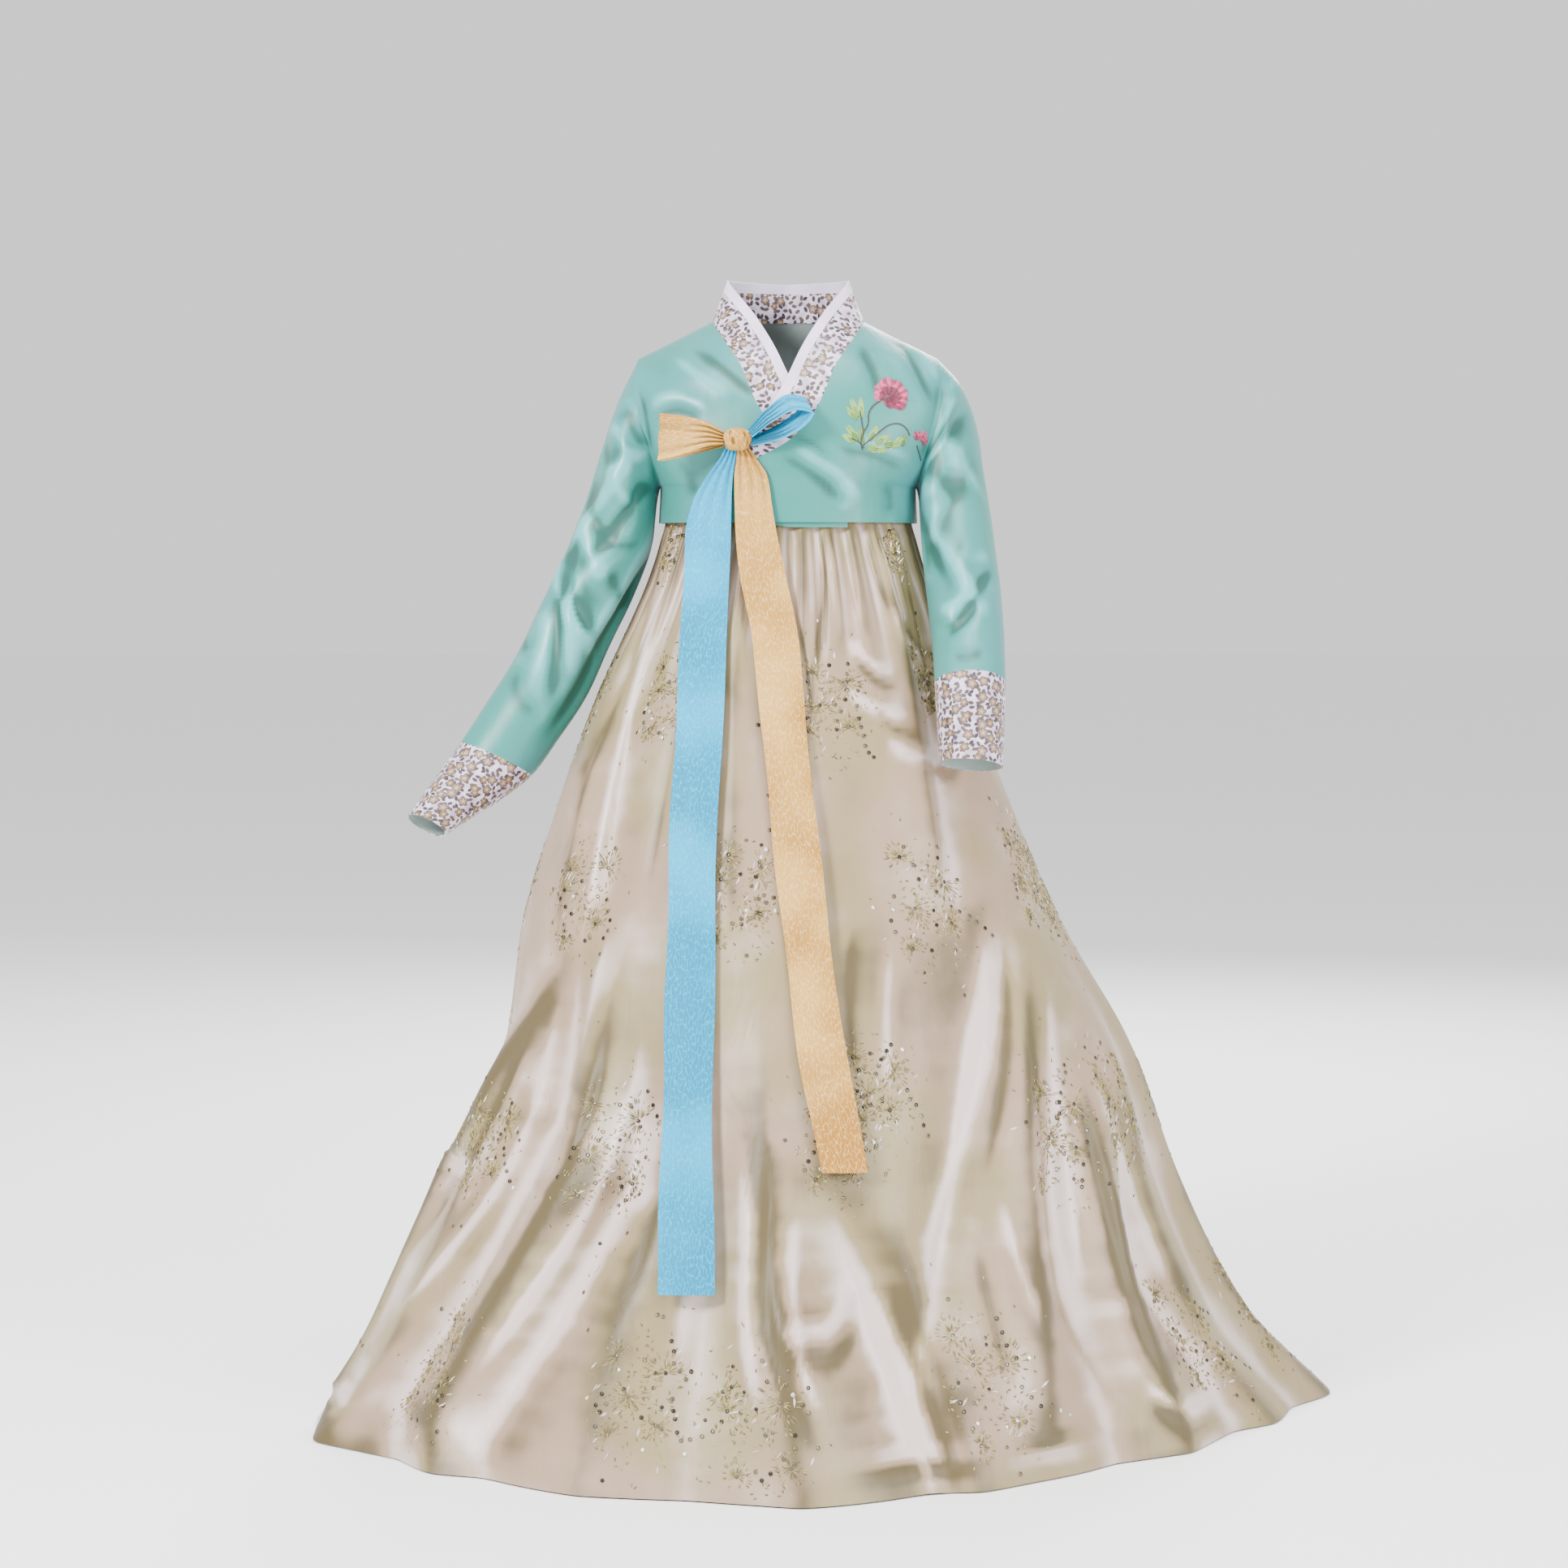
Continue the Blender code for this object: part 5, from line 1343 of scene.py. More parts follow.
def plan_lengths(x, y):
    lengths = np.concatenate([[0], np.cumsum(np.hypot(np.diff(x), np.diff(y)))])
    return lengths / lengths[-1], lengths[-1]


def fold_round(x, share, at_x, side):
    """Where on the outline, as a share of the way round, the front or back passes over at_x."""
    front = (share > 0.25) & (share < 0.75)
    chosen = front if side == "front" else ~front
    return share[chosen][np.argmin(np.abs(x[chosen] - at_x))]


def gathers(height, share):
    """The pleats under the band: uneven, and fading out down the skirt."""
    uneven = share + 0.004 * np.sin(6 * math.pi * share + 0.4) + 0.002 * np.sin(22 * math.pi * share)
    main = PLEAT_DEPTH * ease(0.82, 1.06, height) * np.cos(2 * math.pi * PLEATS * share)
    fine = FINE_PLEAT_DEPTH * ease(0.90, 1.06, height) * (1 - ease(1.07, 1.10, height))
    return main + fine * np.cos(2 * math.pi * FINE_PLEATS * uneven)


def skirt_shift(height, share, x, plan_share, length):
    """The rise of the pleats and folds round the skirt at one height."""
    shift = gathers(height, share)
    for side, folds in (("front", FRONT_FOLDS), ("back", BACK_FOLDS)):
        for x_1, h_1, x_2, h_2, x_3, h_3, width, rise in zip(*folds.values()):
            if height > h_1 or height < h_3 - 0.06:
                continue
            middle_x = np.interp(height, (h_3, h_2, h_1), (x_3, x_2, x_1))
            away = (share - fold_round(x, plan_share, middle_x, side) + 0.5) % 1 - 0.5
            ends = ease(0, 0.45, (h_1 - height) / (h_1 - h_3)) * (0.45 + 0.55 * ease(0, 0.22, height))
            if h_3 > 0.2:
                ends = ends * ease(0, 0.3, (height - h_3 + 0.06) / (h_1 - h_3))
            shift = shift + rise * ends * np.exp(-np.abs(away * length / width / 1.6) ** 1.5)
    for s_1, h_1, s_2, h_2, width, rise in zip(*SIDE_FOLDS.values()):
        away = share - np.interp(height, (h_2, h_1), (s_2, s_1))
        ends = ease(0, 0.5, (h_1 - height) / (h_1 - h_2))
        shift = shift + rise * ends * np.exp(-np.abs(away * length / width / 1.4) ** 1.5)
    return shift


def skirt_row(height, shares):
    """Points on the smooth outline at one height, the way out from it, and the folds' rise."""
    x, y = skirt_plan(height)
    plan_share, length = plan_lengths(x, y)
    step = 1 / 720
    ahead, behind = (shares + step) % 1, (shares - step) % 1
    run = np.stack([np.interp(ahead, plan_share, line) - np.interp(behind, plan_share, line)
                    for line in (x, y)], axis=-1)
    run = unit(run)
    place = np.stack([np.interp(shares, plan_share, x), np.interp(shares, plan_share, y),
                      0 * shares + height], axis=-1)
    out = np.stack([-run[:, 1], run[:, 0], 0 * shares], axis=-1)
    return place, out, skirt_shift(height, shares, x, plan_share, length)


def skirt_grid():
    shares = np.arange(SKIRT_COLUMNS) / SKIRT_COLUMNS
    heights = SKIRT_TOP + (SKIRT_HEM - SKIRT_TOP) * np.linspace(0, 1, SKIRT_ROWS + 1) ** 1.12
    rows = [skirt_row(height, shares) for height in heights]
    place, out, shift = (np.stack(part) for part in zip(*rows))
    folded = place + out * shift[..., None]
    normals = tube_normals(folded)
    x, height = folded[..., 0], folded[..., 2]
    fine = both_sides(folded, normals, (x, height), SKIRT_CREASES, BACK_SKIRT_CREASES)
    fine = fine * (1 - ease(1.075, 1.105, height)) * ease(-0.06, 0.05, height)
    points = folded + normals * fine[..., None]
    points[..., 2] = np.maximum(points[..., 2], FLOOR_CLEARANCE)
    return points, tube_normals(points), shift + fine, heights


def make_skirt():
    points, normals, shift, heights = skirt_grid()
    # Painted shade in the skirt's troughs and painted highlight on its ridges, kept in the fold attribute.
    shade = ridge_shade(shift, steps=(2, 5), full=0.0021, around=True)
    starts = sorted(SKIRT_SEAMS.items(), key=lambda item: item[1])
    for (name, start), (_, end) in zip(starts, starts[1:] + starts[:1]):
        count = ((end - start) % SEAM_PLACES) * FINENESS
        columns = (start * FINENESS + np.arange(count + 1)) % SKIRT_COLUMNS
        cloth(f"skirt_{name}", points[:, columns], normals[:, columns], SKIRT_WALL, [champagne],
              shade[:, columns])
    return points, normals, heights


skirt_points, skirt_normals, skirt_heights = make_skirt()

# %% [markdown]
# ## The chest band and its straps
#
# Under the jacket the skirt hangs from a cotton band round the chest, with a strap over each
# shoulder. Hardly any of it shows, only a little inside the neck, but it is there on the real
# garment, so it gets the same care: the same sizes as in the frame, on a finer grid.

# %% Make the band and the straps
CHEST_BAND_TOP = 1.235
CHEST_BAND_TAPER = 0.97
STRAP_WIDTH = 0.028
STRAP_FOOT = 0.062
STRAP_HEAD = 0.099
STRAP_INSET = 0.0065
STRAP_SHRINK = 0.93


def make_band():
    x, y = skirt_plan(SKIRT_TOP)
    share, _ = plan_lengths(x, y)
    at = np.arange(168) / 168
    foot = np.stack([np.interp(at, share, x), np.interp(at, share, y), 0 * at + SKIRT_TOP], axis=-1)
    top = foot * [CHEST_BAND_TAPER, CHEST_BAND_TAPER, 1]
    top[:, 2] = CHEST_BAND_TOP
    shares = np.linspace(0, 1, 9)[:, None, None]
    points = foot[None] * (1 - shares) + top[None] * shares
    cloth("chest_band", points, tube_normals(points), BAND_WALL, [cotton], around=True)


def chest_band_depth(out, side):
    """How far the chest band's top edge stands before or behind the shoulders' plane."""
    half = (read(SKIRT, "right", SKIRT_TOP) - read(SKIRT, "left", SKIRT_TOP)) / 2 * CHEST_BAND_TAPER
    squareness = read(SKIRT, "squareness", SKIRT_TOP)
    across = (1 - (np.abs(out) / half) ** squareness) ** (1 / squareness)
    return read(SKIRT, side, SKIRT_TOP) * CHEST_BAND_TAPER * across


def strap_half(across, side):
    """One line along a strap, from the chest band up to the shoulder."""
    upward = np.sin(math.pi / 2 * np.linspace(0, 1, 25))
    out = STRAP_FOOT + (STRAP_HEAD - STRAP_FOOT) * upward + STRAP_WIDTH * across
    foot = CHEST_BAND_TOP + 0.0006
    heights = foot + (shoulder_line(out) - STRAP_INSET - foot) * upward
    on_band = chest_band_depth(STRAP_FOOT + STRAP_WIDTH * across, side)
    under_jacket = jacket_depth(out, heights + STRAP_INSET, side) * STRAP_SHRINK
    depth = on_band + (under_jacket - on_band) * ease(0, 0.35, upward)
    return np.stack([out, depth if side == "back" else -depth, heights], axis=-1)


def make_straps():
    lines = [np.concatenate([strap_half(across, "front"), strap_half(across, "back")[-2::-1]])
             for across in np.linspace(0, 1, 5)]
    points = np.stack(lines, axis=1)
    normals = grid_normals(points, points - np.array([0, 0, CHEST_BAND_TOP]))
    for name, hand in (("left", 1), ("right", -1)):
        mirror = np.array([hand, 1, 1])
        cloth(f"strap_{name}", points * mirror, normals * mirror, JACKET_WALL, [cotton])


make_band()
make_straps()

# %% [markdown]
# ## The bow
#
# The goreum are two long ribbons, one blue and one peach, tied in a half bow on the wearer's right.
# The peach one makes the flat loop at the left of the picture and the blue one the small loop at
# the right, which is seen along its edge. Both tails hang from the knot and lean on the skirt, so
# their depth is read from the jacket and the skirt at each height. Ribbon gathers where it enters
# the knot, so the loops carry lengthwise pleats that fade out.

# %% Make the ribbons
RIBBON_WALL = 0.0014
KNOT_CENTRE = (-0.061, 1.193)
KNOT_HALF = (0.0155, 0.0105, 0.0135)
KNOT_STANDS_OFF = 0.0050
KNOT_ROWS = 39
KNOT_COLUMNS = 56
TAIL_STEP = 0.05
TAIL_CLEARANCE = 0.0062
TAIL_WANDER = 0.0012
TAIL_CROWN = 0.003
TAIL_PLEAT = 0.0016
TAIL_ROLL = 0.0022

BLUE_TAIL = table("height* left* right*", """
    1186 -72 -62
    1170 -81 -63
    1150 -96 -66
    1120 -113 -68
    1080 -123 -69
    950 -128 -72
    758 -137 -82
    402 -144 -86
    227 -148 -83
""")
PEACH_TAIL = table("height* left* right*", """
    1186 -60 -50
    1170 -61 -38
    1150 -64 -25
    1110 -63 -18
    1040 -59 -5
    944 -41 13
    758 -22 31
    489 11 66
    358 37 90
""")
PEACH_LOOP = table("along x* height* half_width* forward*", """
    0 -76.8 1195 8 15
    0.22 -101 1199 16 20
    0.42 -136 1197 25 19
    0.5 -154 1196 28 12
    0.58 -146 1195 27 6
    0.8 -106 1194 17 5.5
    1 -76.8 1192 8 10
""")
BLUE_LOOP = table("along x* height* half_width* forward*", """
    0 -45 1200 7 14
    0.2 -21 1222 12 19
    0.42 8 1237 15 22
    0.5 26 1232 15 22
    0.58 18 1220 15 21
    0.8 -12 1201 12 18
    1 -44.8 1190 7 13.5
""")


def front_reach(left, right, height):
    """How far forward the clothes stand between two x places, at and near one height."""
    reach = 0.0
    if height > JACKET_HEM - 0.02:
        x = np.linspace(left - 0.006, right + 0.006, 9)
        reach = (jacket_depth(x, max(height, JACKET_HEM), "front") + OVERLAP_LIFT).max()
    if height < JACKET_HEM + 0.02:
        slope = np.interp(height, (0.9, 1.1), (0.42, 0.5))
        for row, row_height in zip(skirt_points, skirt_heights):
            if abs(row_height - height) < 0.07:
                inside = row[(row[:, 0] > left - 0.03) & (row[:, 0] < right + 0.03)]
                reach = max(reach, (-inside[:, 1]).max() - slope * max(0, height - row_height))
    return reach


def make_tail(name, sizes, material, at_knot, sway):
    """A ribbon tail that hangs from the knot and leans on the skirt."""
    top, bottom = sizes["height"].max(), sizes["height"].min()
    knots = np.linspace(top, bottom, round((top - bottom) / TAIL_STEP) + 1)
    edges = read(sizes, "left", knots), read(sizes, "right", knots)
    reach = np.maximum.accumulate([front_reach(*place) for place in zip(*edges, knots)])
    reach = np.convolve(np.pad(reach, 1, mode="edge"), (0.25, 0.5, 0.25), mode="valid")
    heights = np.linspace(top, bottom, 150)
    reach = read({"height": knots[::-1], "reach": reach[::-1]}, "reach", heights)
    reach = reach + at_knot + (TAIL_CLEARANCE - at_knot) * ease(0, 0.04, top - heights)
    shares = np.linspace(0, 1, 21)
    left, right = read(sizes, "left", heights), read(sizes, "right", heights)
    wander = TAIL_WANDER * ease(0, 0.15, top - heights)
    left = left + wander * np.sin(heights * 31 + sway)
    right = right + wander * np.sin(heights * 23 + 2 * sway)
    x = left[:, None] * (1 - shares) + right[:, None] * shares
    down = (top - heights)[:, None]
    crown = TAIL_CROWN * np.sin(math.pi * shares)[None] * ease(0, 0.2, down)
    pleat = TAIL_PLEAT * (1 - ease(0.02, 0.16, down)) * np.cos(6 * math.pi * shares)[None]
    roll = TAIL_ROLL * ease(0.15, 0.4, down) * np.sin(heights * 9 + sway)[:, None] * (2 * shares - 1)[None]
    shift = crown + pleat + roll
    points = np.stack([x, -(reach[:, None] + shift), heights[:, None] + 0 * x], axis=-1)
    # ridge_shade paints shade into the tail's pleat and roll troughs and highlight onto their crests.
    cloth(name, points, grid_normals(points, FORWARD), RIBBON_WALL, [material], ridge_shade(shift))


def make_loop(name, sizes, material, upright, pleats):
    """A loop of the bow: a strip that leaves the knot, turns and comes back beneath itself."""
    alongs = np.linspace(0, 1, 121)
    base = jacket_depth(KNOT_CENTRE[0], KNOT_CENTRE[1], "front") + OVERLAP_LIFT
    middle = np.stack([read(sizes, "x", alongs), -(base + read(sizes, "forward", alongs)),
                       read(sizes, "height", alongs)], axis=-1)
    shares = np.linspace(-1, 1, 25)
    across = np.array(upright) * read(sizes, "half_width", alongs)[:, None]
    points = middle[:, None] + across[:, None] * shares[None, :, None]
    outward = points - middle.mean(axis=0)
    normals = grid_normals(points, outward)
    near_knot = 1 - ease(0.12, 0.42, np.minimum(alongs, 1 - alongs))
    shift = 0.0013 * near_knot[:, None] * np.cos(pleats * math.pi * shares)[None]
    shift = shift + 0.0006 * (1 - near_knot)[:, None] * np.cos(2 * math.pi * shares + 0.6)[None]
    points = points + normals * shift[..., None]
    # Painted shade: darker in the pleats' troughs, and the whole loop darker again near the knot.
    shade = ridge_shade(shift, full=0.0006) * (0.85 - 0.35 * near_knot[:, None])
    cloth(name, points, grid_normals(points, outward), RIBBON_WALL, [material], shade)


def make_knot():
    """The knot: a firm roll with the slanting grooves of pulled ribbon."""
    x, height = KNOT_CENTRE
    y = -(jacket_depth(x, height, "front") + OVERLAP_LIFT + KNOT_HALF[1] + KNOT_STANDS_OFF)
    tilt = np.linspace(-1, 1, KNOT_ROWS + 2)[1:-1, None] * math.pi / 2
    turn = np.arange(KNOT_COLUMNS)[None] * 2 * math.pi / KNOT_COLUMNS
    girth = np.cos(tilt) ** 0.6
    groove = 1 + 0.10 * np.cos(5 * turn + 2.2 * tilt) * np.cos(tilt) + 0.04 * np.cos(9 * turn - 3 * tilt)
    out = girth * np.sign(np.cos(turn)) * np.abs(np.cos(turn)) ** 0.75 * KNOT_HALF[0] * groove
    away = girth * np.sign(np.sin(turn)) * np.abs(np.sin(turn)) ** 0.75 * KNOT_HALF[1] * groove
    grid = np.stack([out, away, np.sin(tilt) * KNOT_HALF[2] + 0 * turn], axis=-1)
    poles = np.array([[0, 0, -KNOT_HALF[2]], [0, 0, KNOT_HALF[2]]])
    points = np.concatenate([grid.reshape(-1, 3), poles]) + [x, y, height - SHOULDER_HEIGHT]
    index = np.arange(KNOT_ROWS * KNOT_COLUMNS).reshape(KNOT_ROWS, KNOT_COLUMNS)
    ahead = np.roll(index, -1, axis=1)
    faces = [(index[r, c], ahead[r, c], ahead[r + 1, c], index[r + 1, c])
             for r in range(KNOT_ROWS - 1) for c in range(KNOT_COLUMNS)]
    faces += [(ahead[0, c], index[0, c], index.size) for c in range(KNOT_COLUMNS)]
    faces += [(index[-1, c], ahead[-1, c], index.size + 1) for c in range(KNOT_COLUMNS)]
    knot = mesh_object("bow_knot", points, faces, [peach])
    # Painted shade in the knot's grooves: the fold value falls where the groove sinks, which darkens the
    # colour.
    fold = knot.data.attributes.new("fold", "FLOAT", "POINT")
    depth = np.clip((groove + 0 * girth - 0.88) / 0.16, 0, 1).ravel()
    fold.data.foreach_set("value", np.append(depth, (0.5, 0.5)).astype(np.float32))
    uv = knot.data.uv_layers.new(name="cloth").uv
    for loop in knot.data.loops:
        place = knot.data.vertices[loop.vertex_index].co
        uv[loop.index].vector = (place.x + 0.4 * place.z, place.z)
    knot.data.shade_smooth()
    finished_pieces["bow_knot"] = knot


make_tail("ribbon_tail_blue", BLUE_TAIL, blue, 0.0045, 0.7)
make_tail("ribbon_tail_peach", PEACH_TAIL, peach, 0.0022, 2.1)
make_loop("bow_loop_peach", PEACH_LOOP, peach, (0.05, 0, 1), 5)
make_loop("bow_loop_blue", BLUE_LOOP, blue, (-0.30, 0.70, 0.62), 4)
make_knot()

# %% [markdown]
# ## One way to sew many small things on
#
# The skirt carries thousands of stitches and sequins. Modelling each would be slow, so one Geometry
# Nodes tree does it. It takes a cloud of points, each with the way out of the cloth (`out`), the way
# the thread runs (`along`) and its `size`, puts a copy of one small shape on each, and makes the copies
# real. The points also carry a `tone`, which the thread's material reads, so no two stitches look
# the same. Afterwards the result is kept as a plain mesh.

# %% The tree that sews
def stored(tree, name):
    node = put(tree, "GeometryNodeInputNamedAttribute", {"Name": name}, data_type="FLOAT_VECTOR")
    return next(socket for socket in node.outputs if socket.enabled)


def sewing_tree():
    tree = bpy.data.node_groups.new("sewn_on", "GeometryNodeTree")
    sockets = {"Places": "Geometry", "Shape": "Object", "Thread": "Material", "Lift": "Float"}
    for socket, kind in sockets.items():
        tree.interface.new_socket(socket, in_out="INPUT", socket_type=f"NodeSocket{kind}")
    tree.interface.new_socket("Sewn", in_out="OUTPUT", socket_type="NodeSocketGeometry")
    given = tree.nodes.new("NodeGroupInput").outputs
    out = stored(tree, "out")
    turn = put(tree, "FunctionNodeAxesToRotation",
               {"Primary Axis": out, "Secondary Axis": stored(tree, "along")},
               primary_axis="Z", secondary_axis="X").outputs[0]
    lift = put(tree, "ShaderNodeVectorMath", {0: out, "Scale": given["Lift"]}, operation="SCALE").outputs[0]
    raised = put(tree, "GeometryNodeSetPosition", {"Geometry": given["Places"], "Offset": lift}).outputs[0]
    shape = put(tree, "GeometryNodeObjectInfo", {"Object": given["Shape"]}).outputs["Geometry"]
    copies = put(tree, "GeometryNodeInstanceOnPoints",
                 {"Points": raised, "Instance": shape, "Rotation": turn,
                  "Scale": stored(tree, "size")}).outputs[0]
    real = put(tree, "GeometryNodeRealizeInstances", {"Geometry": copies}).outputs[0]
    sewn = put(tree, "GeometryNodeSetMaterial", {"Geometry": real, "Material": given["Thread"]}).outputs[0]
    tree.links.new(sewn, tree.nodes.new("NodeGroupOutput").inputs[0])
    return tree


SEWN_ON = sewing_tree()


def sew(name, shape, thread, places, outs, alongs, sizes, tones, lift=0.0002):
    """Copies a shape onto places of the cloth and keeps the result as one plain mesh."""
    mesh = bpy.data.meshes.new(name)
    mesh.from_pydata(places.tolist(), [], [])
    for key, values in (("out", outs), ("along", alongs), ("size", sizes)):
        attribute = mesh.attributes.new(key, "FLOAT_VECTOR", "POINT")
        attribute.data.foreach_set("vector", np.asarray(values, np.float32).ravel())
    tone = mesh.attributes.new("tone", "FLOAT", "POINT")
    tone.data.foreach_set("value", np.asarray(tones, np.float32))
    piece = bpy.data.objects.new(name, mesh)
    bpy.context.scene.collection.objects.link(piece)
    modifier = piece.modifiers.new("sewn_on", "NODES")
    modifier.node_group = SEWN_ON
    pins = {item.name: item.identifier for item in SEWN_ON.interface.items_tree if item.in_out == "INPUT"}
    modifier[pins["Shape"]] = shape
    modifier[pins["Thread"]] = thread
    modifier[pins["Lift"]] = lift
    graph = bpy.context.evaluated_depsgraph_get()
    sewn = bpy.data.meshes.new_from_object(piece.evaluated_get(graph))
    piece.modifiers.clear()
    piece.data = sewn
    sewn.name = name
    finished_pieces[name] = piece
    triangles = sum(len(face.vertices) - 2 for face in sewn.polygons)
    print(f"{name}: {len(places)} copies, {triangles} triangles")


# %% [markdown]
# ## The small shapes
#
# A stitch is a short padded strand: thick in its middle and thin where it dives into the cloth. The
# skirt's stitches and leaf strokes are plainer ones, like small roofs. A sequin is a shallow cup with
# seven facets round a flat middle. All are one unit long here, and each copy is scaled to its real
# size. They repeat thousands of times, so they have few faces.

# %% Stitch, leaf stroke and sequin
def ringed_shape(name, rings):
    """A small mesh through rings of points, closed at both ends."""
    count = len(rings[0])
    points = [point for ring in rings for point in ring]
    faces = []
    for start in range(0, len(points) - count, count):
        for c in range(count):
            ahead = (c + 1) % count
            faces.append((start + c, start + ahead, start + count + ahead, start + count + c))
    faces += [tuple(range(count))[::-1], tuple(range(len(points) - count, len(points)))]
    shape = mesh_object(name, np.array(points), faces, [])
    bm = bmesh.new()
    bm.from_mesh(shape.data)
    bmesh.ops.recalc_face_normals(bm, faces=bm.faces)
    bm.to_mesh(shape.data)
    bm.free()
    shape.data.shade_smooth()
    return shape


def strand(name, profile, turns=(-0.15, 0.25, 0.5, 0.75, 1.15)):
    """A strand along X that follows a short profile, with its corners at some turns."""
    turns = np.array(turns) * math.pi
    return ringed_shape(name, [[(x, girth * math.cos(a), girth * math.sin(a)) for a in turns]
                               for x, girth in profile])


def sequin_shape():
    turns = np.arange(7) * 2 * math.pi / 7
    profile = ((0.46, 0.00), (0.50, 0.12), (0.12, 0.03))
    return ringed_shape("sequin", [[(r * math.cos(a), r * math.sin(a), z) for a in turns]
                                   for r, z in profile])


stitch = strand("stitch", ((-0.5, 0.12), (-0.3, 0.44), (0.0, 0.5), (0.3, 0.44), (0.5, 0.12)))
ROOF = (-0.1, 0.5, 1.1)
short = strand("short_stitch", ((-0.5, 0.16), (0.0, 0.5), (0.5, 0.16)), ROOF)
stroke = strand("leaf_stroke", ((-0.5, 0.06), (-0.2, 0.36), (0.08, 0.5), (0.5, 0.05)), ROOF)
sequin = sequin_shape()
print("faces:", {shape.name: len(shape.data.polygons) for shape in (stitch, short, stroke, sequin)})

# %% [markdown]
# ## Threads and sequins
#
# A thread material mixes its colours by each stitch's own tone and adds fine twisted ply as a bump.
# The gold thread is a little metallic. The sequins are dark and glossy, and the few with the highest
# tone are silver, which gives the sparks of light on the skirt.

# %% Materials for threads and sequins
def thread_material(name, first, second, third, metal, roughness):
    material, tree, shader, coordinates = start_material(name, Metallic=metal, Roughness=roughness,
                                                         Sheen_Weight=0.2)
    tone = marked(tree, "tone")
    lower = mixed(tree, between(tree, tone, 0.0, 0.5), first, second)
    colour = mixed(tree, between(tree, tone, 0.5, 1.0), lower, third)
    tree.links.new(colour, shader.inputs["Base Color"])
    bumped(tree, shader, [(noise(tree, coordinates["Object"], 1400.0, 1.0), 0.0002, 0.4)])
    return material


def sequin_material():
    material, tree, shader, coordinates = start_material("sequin_foil", Metallic=0.75, Roughness=0.22)
    tone = marked(tree, "tone")
    dark = mixed(tree, between(tree, tone, 0.0, 0.7), (0.035, 0.028, 0.022), (0.17, 0.135, 0.09))
    colour = mixed(tree, between(tree, tone, 0.84, 0.9), dark, (0.85, 0.85, 0.82))
    dull = between(tree, noise(tree, coordinates["Object"], 700.0), 0.3, 0.7, 0.16, 0.34)
    fill(tree, shader, {"Base Color": colour, "Roughness": dull})
    return material


gold_thread = thread_material("gold_thread", (0.10, 0.073, 0.012), (0.22, 0.165, 0.035),
                              (0.42, 0.34, 0.12), 0.2, 0.42)
pale_thread = thread_material("pale_thread", (0.40, 0.32, 0.25), (0.52, 0.43, 0.39),
                              (0.72, 0.63, 0.64), 0.1, 0.4)
stem_thread = thread_material("stem_thread", (0.30, 0.22, 0.12), (0.42, 0.33, 0.21),
                              (0.56, 0.46, 0.32), 0.1, 0.45)
foil = sequin_material()
print("thread materials:", gold_thread.name, pale_thread.name, stem_thread.name, foil.name)

# %% [markdown]
# ## A sewn spray
#
# The skirt's flowers are small sprays of the same kind: a bent stem, fans of gold stitches in a cloud
# of small ones, pale leaf strokes, and sequins in short uneven rows with a few loose ones. `spray` lays
# one out flat, in metres from its middle, with a seed of its own, so that no two are alike but each
# run gives the same ones.

# %% Lay out one spray
FANS = table("across* up* size", """
    -21 40 0.95
    22 26 1.2
    -16 2 1.05
    20 -22 0.9
    -26 -36 0.8
""")
# Each kind of stitch: its shape, its thread, and its thickness as a share of its width
SPRAY_KINDS = {
    "fan": (short, gold_thread, 0.9),
    "cloud": (short, gold_thread, 0.7),
    "pale": (stroke, pale_thread, 0.4),
    "stem": (short, stem_thread, 0.9),
    "sequin": (sequin, foil, 0.7),
}
STEM_STEP = 0.0066
CLOUD_STITCHES = 150
SEQUIN_PITCH = 0.0105


